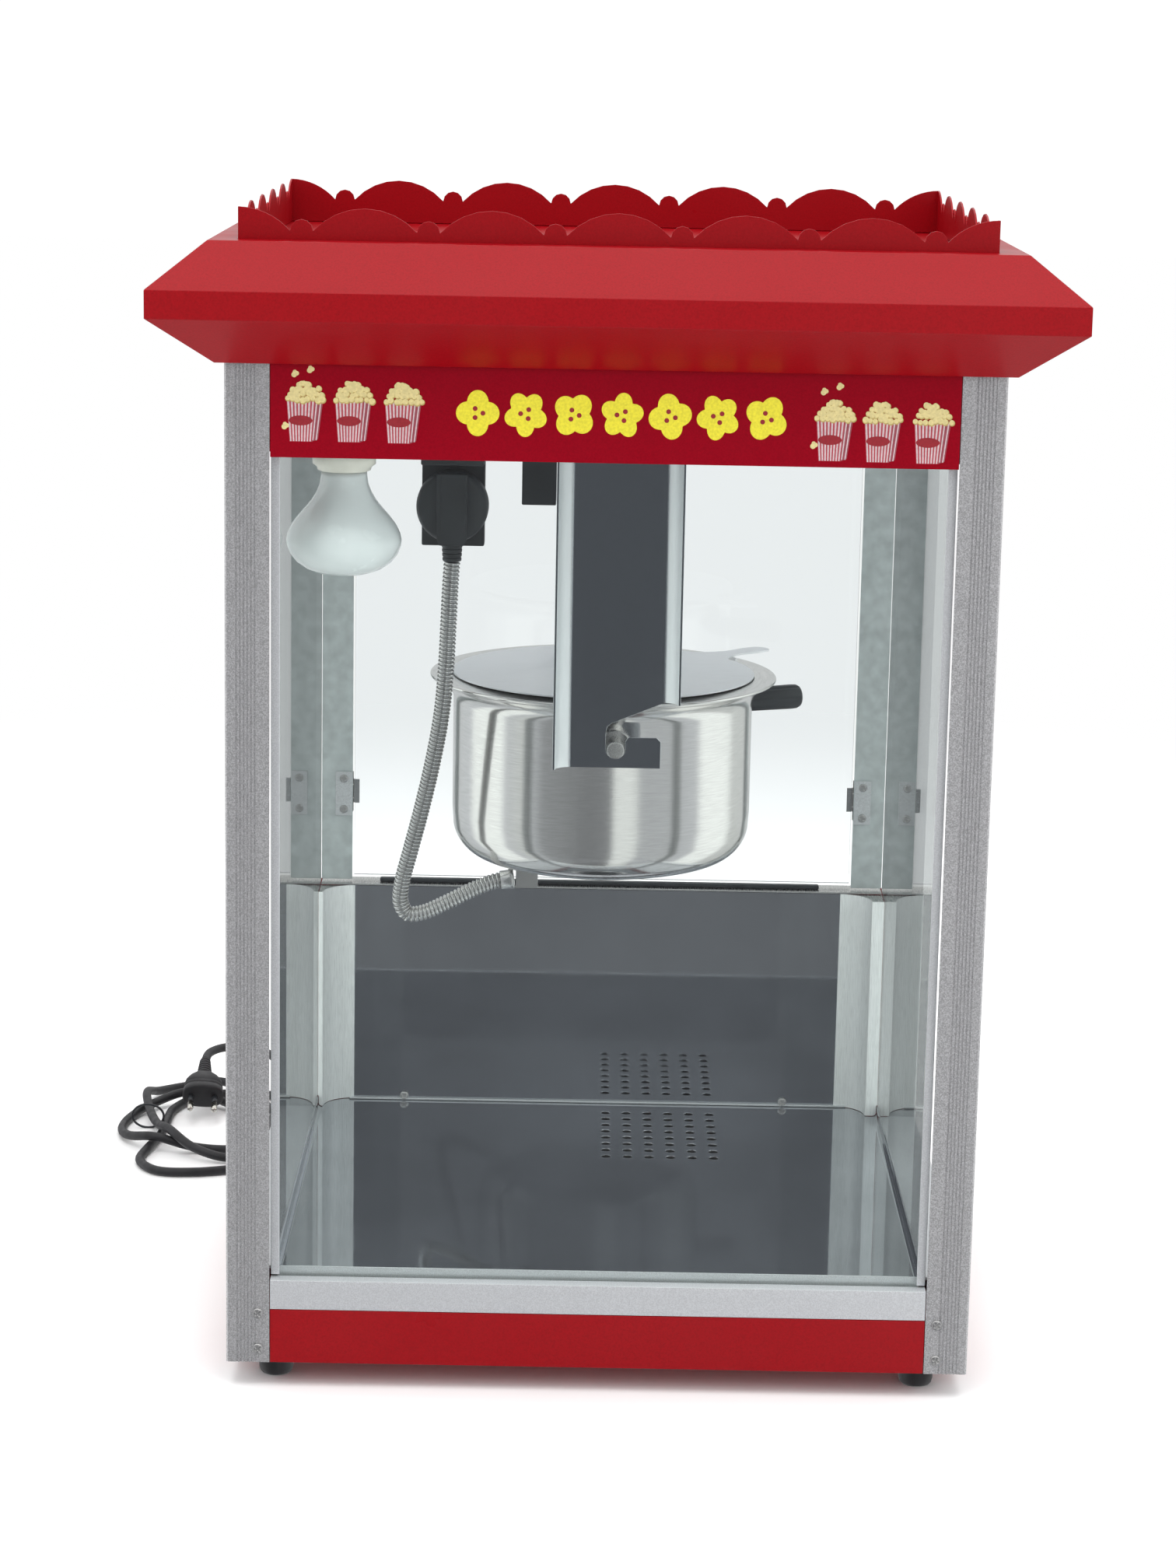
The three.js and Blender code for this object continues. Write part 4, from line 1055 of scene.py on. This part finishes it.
def tub(index, x, foot):
    """Striped tub with a heap of popcorn; foot is the height of its lower edge."""
    rng = random.Random(40 + index)
    tall, wide, narrow, deep = 25.5, 17.6, 13.4, 5.0
    left_top, left_low = x - 11.2, x - 9.2
    printed(f"sign_tub_{index}_face", [[(left_low, foot), (left_low + narrow, foot),
                                        (left_top + wide, foot + tall), (left_top, foot + tall)]], 0, TUB_RED)
    printed(f"sign_tub_{index}_side", [[(left_low + narrow, foot), (left_low + narrow + deep - 1, foot + 1.6),
                                        (left_top + wide + deep, foot + tall + 0.8),
                                        (left_top + wide, foot + tall)]], 0, TUB_SIDE)
    stripes = []
    count = 8
    for i in range(count):
        a, b = (i + 0.2) / count, (i + 0.72) / count
        stripes.append([(left_low + narrow * a, foot + 0.2), (left_low + narrow * b, foot + 0.2),
                        (left_top + wide * b, foot + tall), (left_top + wide * a, foot + tall)])
    for i in range(2):
        a, b = (i + 0.25) / 2, (i + 0.6) / 2
        stripes.append([(left_low + narrow + (deep - 1) * a, foot + 1),
                        (left_low + narrow + (deep - 1) * b, foot + 1),
                        (left_top + wide + deep * b, foot + tall), (left_top + wide + deep * a, foot + tall)])
    printed(f"sign_tub_{index}_stripes", stripes, 1, TUB_WHITE)
    oval = [(left_low + narrow / 2 + 7.3 * math.cos(math.tau * i / 28),
             foot + 13 + 3.1 * math.sin(math.tau * i / 28))
            for i in range(28)]
    printed(f"sign_tub_{index}_oval", [oval], 2, LABEL_RED)
    shades, kernels = [], []
    for i in range(30):
        row = i // 8
        reach = (10.8, 9.6, 7.6, 4.4)[row]
        u = x + 0.4 + reach * ((i % 8) / 3.5 - 1) + rng.uniform(-0.6, 0.6)
        v = foot + tall + 0.6 + row * 3.1 + rng.uniform(-0.7, 0.7)
        size = rng.uniform(1.7, 2.3)
        shades.append(disc_outline(u + 0.25, v - 0.45, size))
        kernels.append(disc_outline(u, v, size * 0.86))
    printed(f"sign_tub_{index}_heap_shade", shades, 2, CREAM_SHADE)
    printed(f"sign_tub_{index}_heap", kernels, 3, CREAM)


def loose_kernels(spots):
    blobs = []
    for x, z in spots:
        blobs += [disc_outline(x, z, 1.7), disc_outline(x + 1.6, z + 0.8, 1.4),
                  disc_outline(x + 0.4, z + 1.7, 1.3)]
    printed("sign_loose_kernels", blobs, 0, CREAM)


def blossom(x, z, lobes, tilt, size=13.6):
    """Popped-kernel silhouette with round lobes."""
    outline = []
    for i in range(96):
        a = math.tau * i / 96
        r = size * (0.70 + 0.30 * abs(math.cos(lobes * (a + tilt) / 2)))
        outline.append((x + r * 0.98 * math.cos(a), z + r * 1.04 * math.sin(a)))
    return outline


def sign():
    for index, (x, middle) in enumerate(((-190.5, 617.5), (-160.9, 617.6), (-130.3, 617.4), (134.3, 611.5),
                                         (163.8, 611.2), (194.4, 610.9))):
        tub(index, x, middle - 19)
    loose_kernels([(-197, 639.5), (-187.5, 642.2), (-203, 607.5), (127, 634.5), (136.5, 637.8),
                   (121.5, 601.5)])
    count, left, right, middle = 7, -84.5, 92.5, 618
    flowers = [blossom(left + (right - left) * i / (count - 1), middle, 4 + i % 2,
                       0.35 * i) for i in range(count)]
    printed("sign_blossoms", flowers, 0, YELLOW)
    hearts = []
    for i in range(count):
        x = left + (right - left) * i / (count - 1)
        hearts += [disc_outline(x + 3.2 * math.cos(a + i), middle + 3.2 * math.sin(a + i), 1.5)
                   for a in (0, math.tau / 3, 2 * math.tau / 3)]
    printed("sign_blossom_hearts", hearts, 1, LABEL_RED)


sign()


# ---------------------------------------------------------------- studio
WHITE_LIGHT = (1.0, 1.0, 1.0, 1.0)


def paper_floor():
    """White paper that fades into the plain white background away from the object, so no horizon shows."""
    reach = 12
    corners = [(-reach, -reach, 0), (reach, -reach, 0), (reach, reach, 0), (-reach, reach, 0)]
    floor = mesh_object("floor", corners, [(0, 1, 2, 3)])
    paper = Surface("white_paper", (0.93, 0.93, 0.93), Specular_IOR_Level=0.2, Roughness=0.9)
    paper.tint(paper.noise(3, 2), (0.92, 0.92, 0.92), (0.94, 0.94, 0.94))
    distance = paper.add("VectorMath", {0: paper.place}, operation="LENGTH").outputs["Value"]
    far = paper.add("MapRange", {"From Min": 0.9, "From Max": 2.2, "Value": distance},
                    interpolation_type="SMOOTHSTEP")
    faded = paper.add("MixShader", {"Fac": far.outputs["Result"], 1: paper.shader.outputs["BSDF"],
                                    2: paper.add("Emission").outputs["Emission"]})
    # Reflections look through the paper, so that polished metal mirrors the studio below its edge too.
    depth = paper.add("LightPath").outputs["Glossy Depth"]
    mirrored = paper.add("Math", {0: depth, 1: 0.5}, operation="GREATER_THAN")
    paper.show(paper.add("MixShader", {"Fac": mirrored.outputs["Value"], 1: faded.outputs["Shader"],
                                       2: paper.add("BsdfTransparent").outputs["BSDF"]}))
    floor.data.materials.append(paper.material)


def studio_world():
    """Plain white to the eye, also through panes; reflections and light see a dark front and bright sides."""
    world = bpy.data.worlds.new("studio")
    bpy.context.scene.world = world
    world.use_nodes = True
    tree = world.node_tree
    split = add_node(tree, "SeparateXYZ", {"Vector": add_node(tree, "TexCoord").outputs["Generated"]}).outputs
    forward = add_node(tree, "Math", {0: split["Y"], 1: -1.0}, operation="MULTIPLY")
    turn = add_node(tree, "Math", {0: split["X"], 1: forward.outputs["Value"]}, operation="ARCTAN2")
    share = add_node(tree, "MapRange", {"From Min": -math.pi, "From Max": math.pi,
                                        "Value": turn.outputs["Value"]})
    ramp = add_node(tree, "ValToRGB", {"Fac": share.outputs["Result"]})
    stops = [(-180, 0.62), (-125, 0.6), (-117, 1.0), (-86, 1.0), (-79, 0.55), (-66, 0.62), (-56, 0.5),
             (-47, 0.25), (-8, 0.19), (7, 0.22), (11, 0.85), (26, 0.8), (31, 0.42), (55, 0.44), (62, 0.5),
             (78, 0.52), (85, 1.0), (115, 1.0), (123, 0.62), (180, 0.62)]
    elements = ramp.color_ramp.elements
    while len(elements) < len(stops):
        elements.new(0.5)
    for element, (angle, level) in zip(elements, stops):
        element.position = (angle + 180) / 360
        cool = 1.0 if level > 0.6 else 1.06
        element.color = (level, level, min(1.0, level * cool), 1.0)
    above = add_node(tree, "MapRange", {"From Min": 0.3, "From Max": 0.65, "Value": split["Z"]},
                     interpolation_type="SMOOTHSTEP")
    sky = add_node(tree, "Mix", {"Factor": above.outputs["Result"], "A": ramp.outputs["Color"],
                                 "B": WHITE_LIGHT},
                   data_type="RGBA")
    path = add_node(tree, "LightPath").outputs
    bounces = add_node(tree, "Math", {0: path["Glossy Depth"], 1: path["Diffuse Depth"]})
    direct = add_node(tree, "Math", {0: bounces.outputs["Value"], 1: 0.5}, operation="LESS_THAN")
    seen = add_node(tree, "Mix", {"Factor": direct.outputs["Value"], "A": sky.outputs["Result"],
                                  "B": WHITE_LIGHT}, data_type="RGBA")
    background = tree.nodes["Background"]
    background.inputs["Strength"].default_value = 1.05
    tree.links.new(seen.outputs["Result"], background.inputs["Color"])


def softboxes():
    """Large soft lights that metal and glass don't mirror."""
    middle = Vector((0, 0, 0.35))
    for side, place, size, power in (
        ("left", (-2.6, -1.6, 1.7), 1.8, 24),
        ("right", (2.6, -1.2, 1.6), 1.8, 21),
        ("top", (0.0, -0.5, 2.9), 2.4, 52),
        ("front", (0.2, -3.4, 1.5), 2.0, 9),
        ("rear", (0.0, 3.2, 1.8), 2.4, 26),
    ):
        data = bpy.data.lights.new(f"softbox_{side}", "AREA")
        data.shape = "SQUARE"
        data.size = size
        data.energy = power
        light = add_object(f"softbox_{side}", data)
        light.location = place
        light.rotation_mode = "QUATERNION"
        light.rotation_quaternion = (middle - Vector(place)).to_track_quat("-Z", "Y")
        light.visible_glossy = False
        light.visible_transmission = False


bpy.context.scene.view_settings.view_transform = "Standard"
paper_floor()
studio_world()
softboxes()
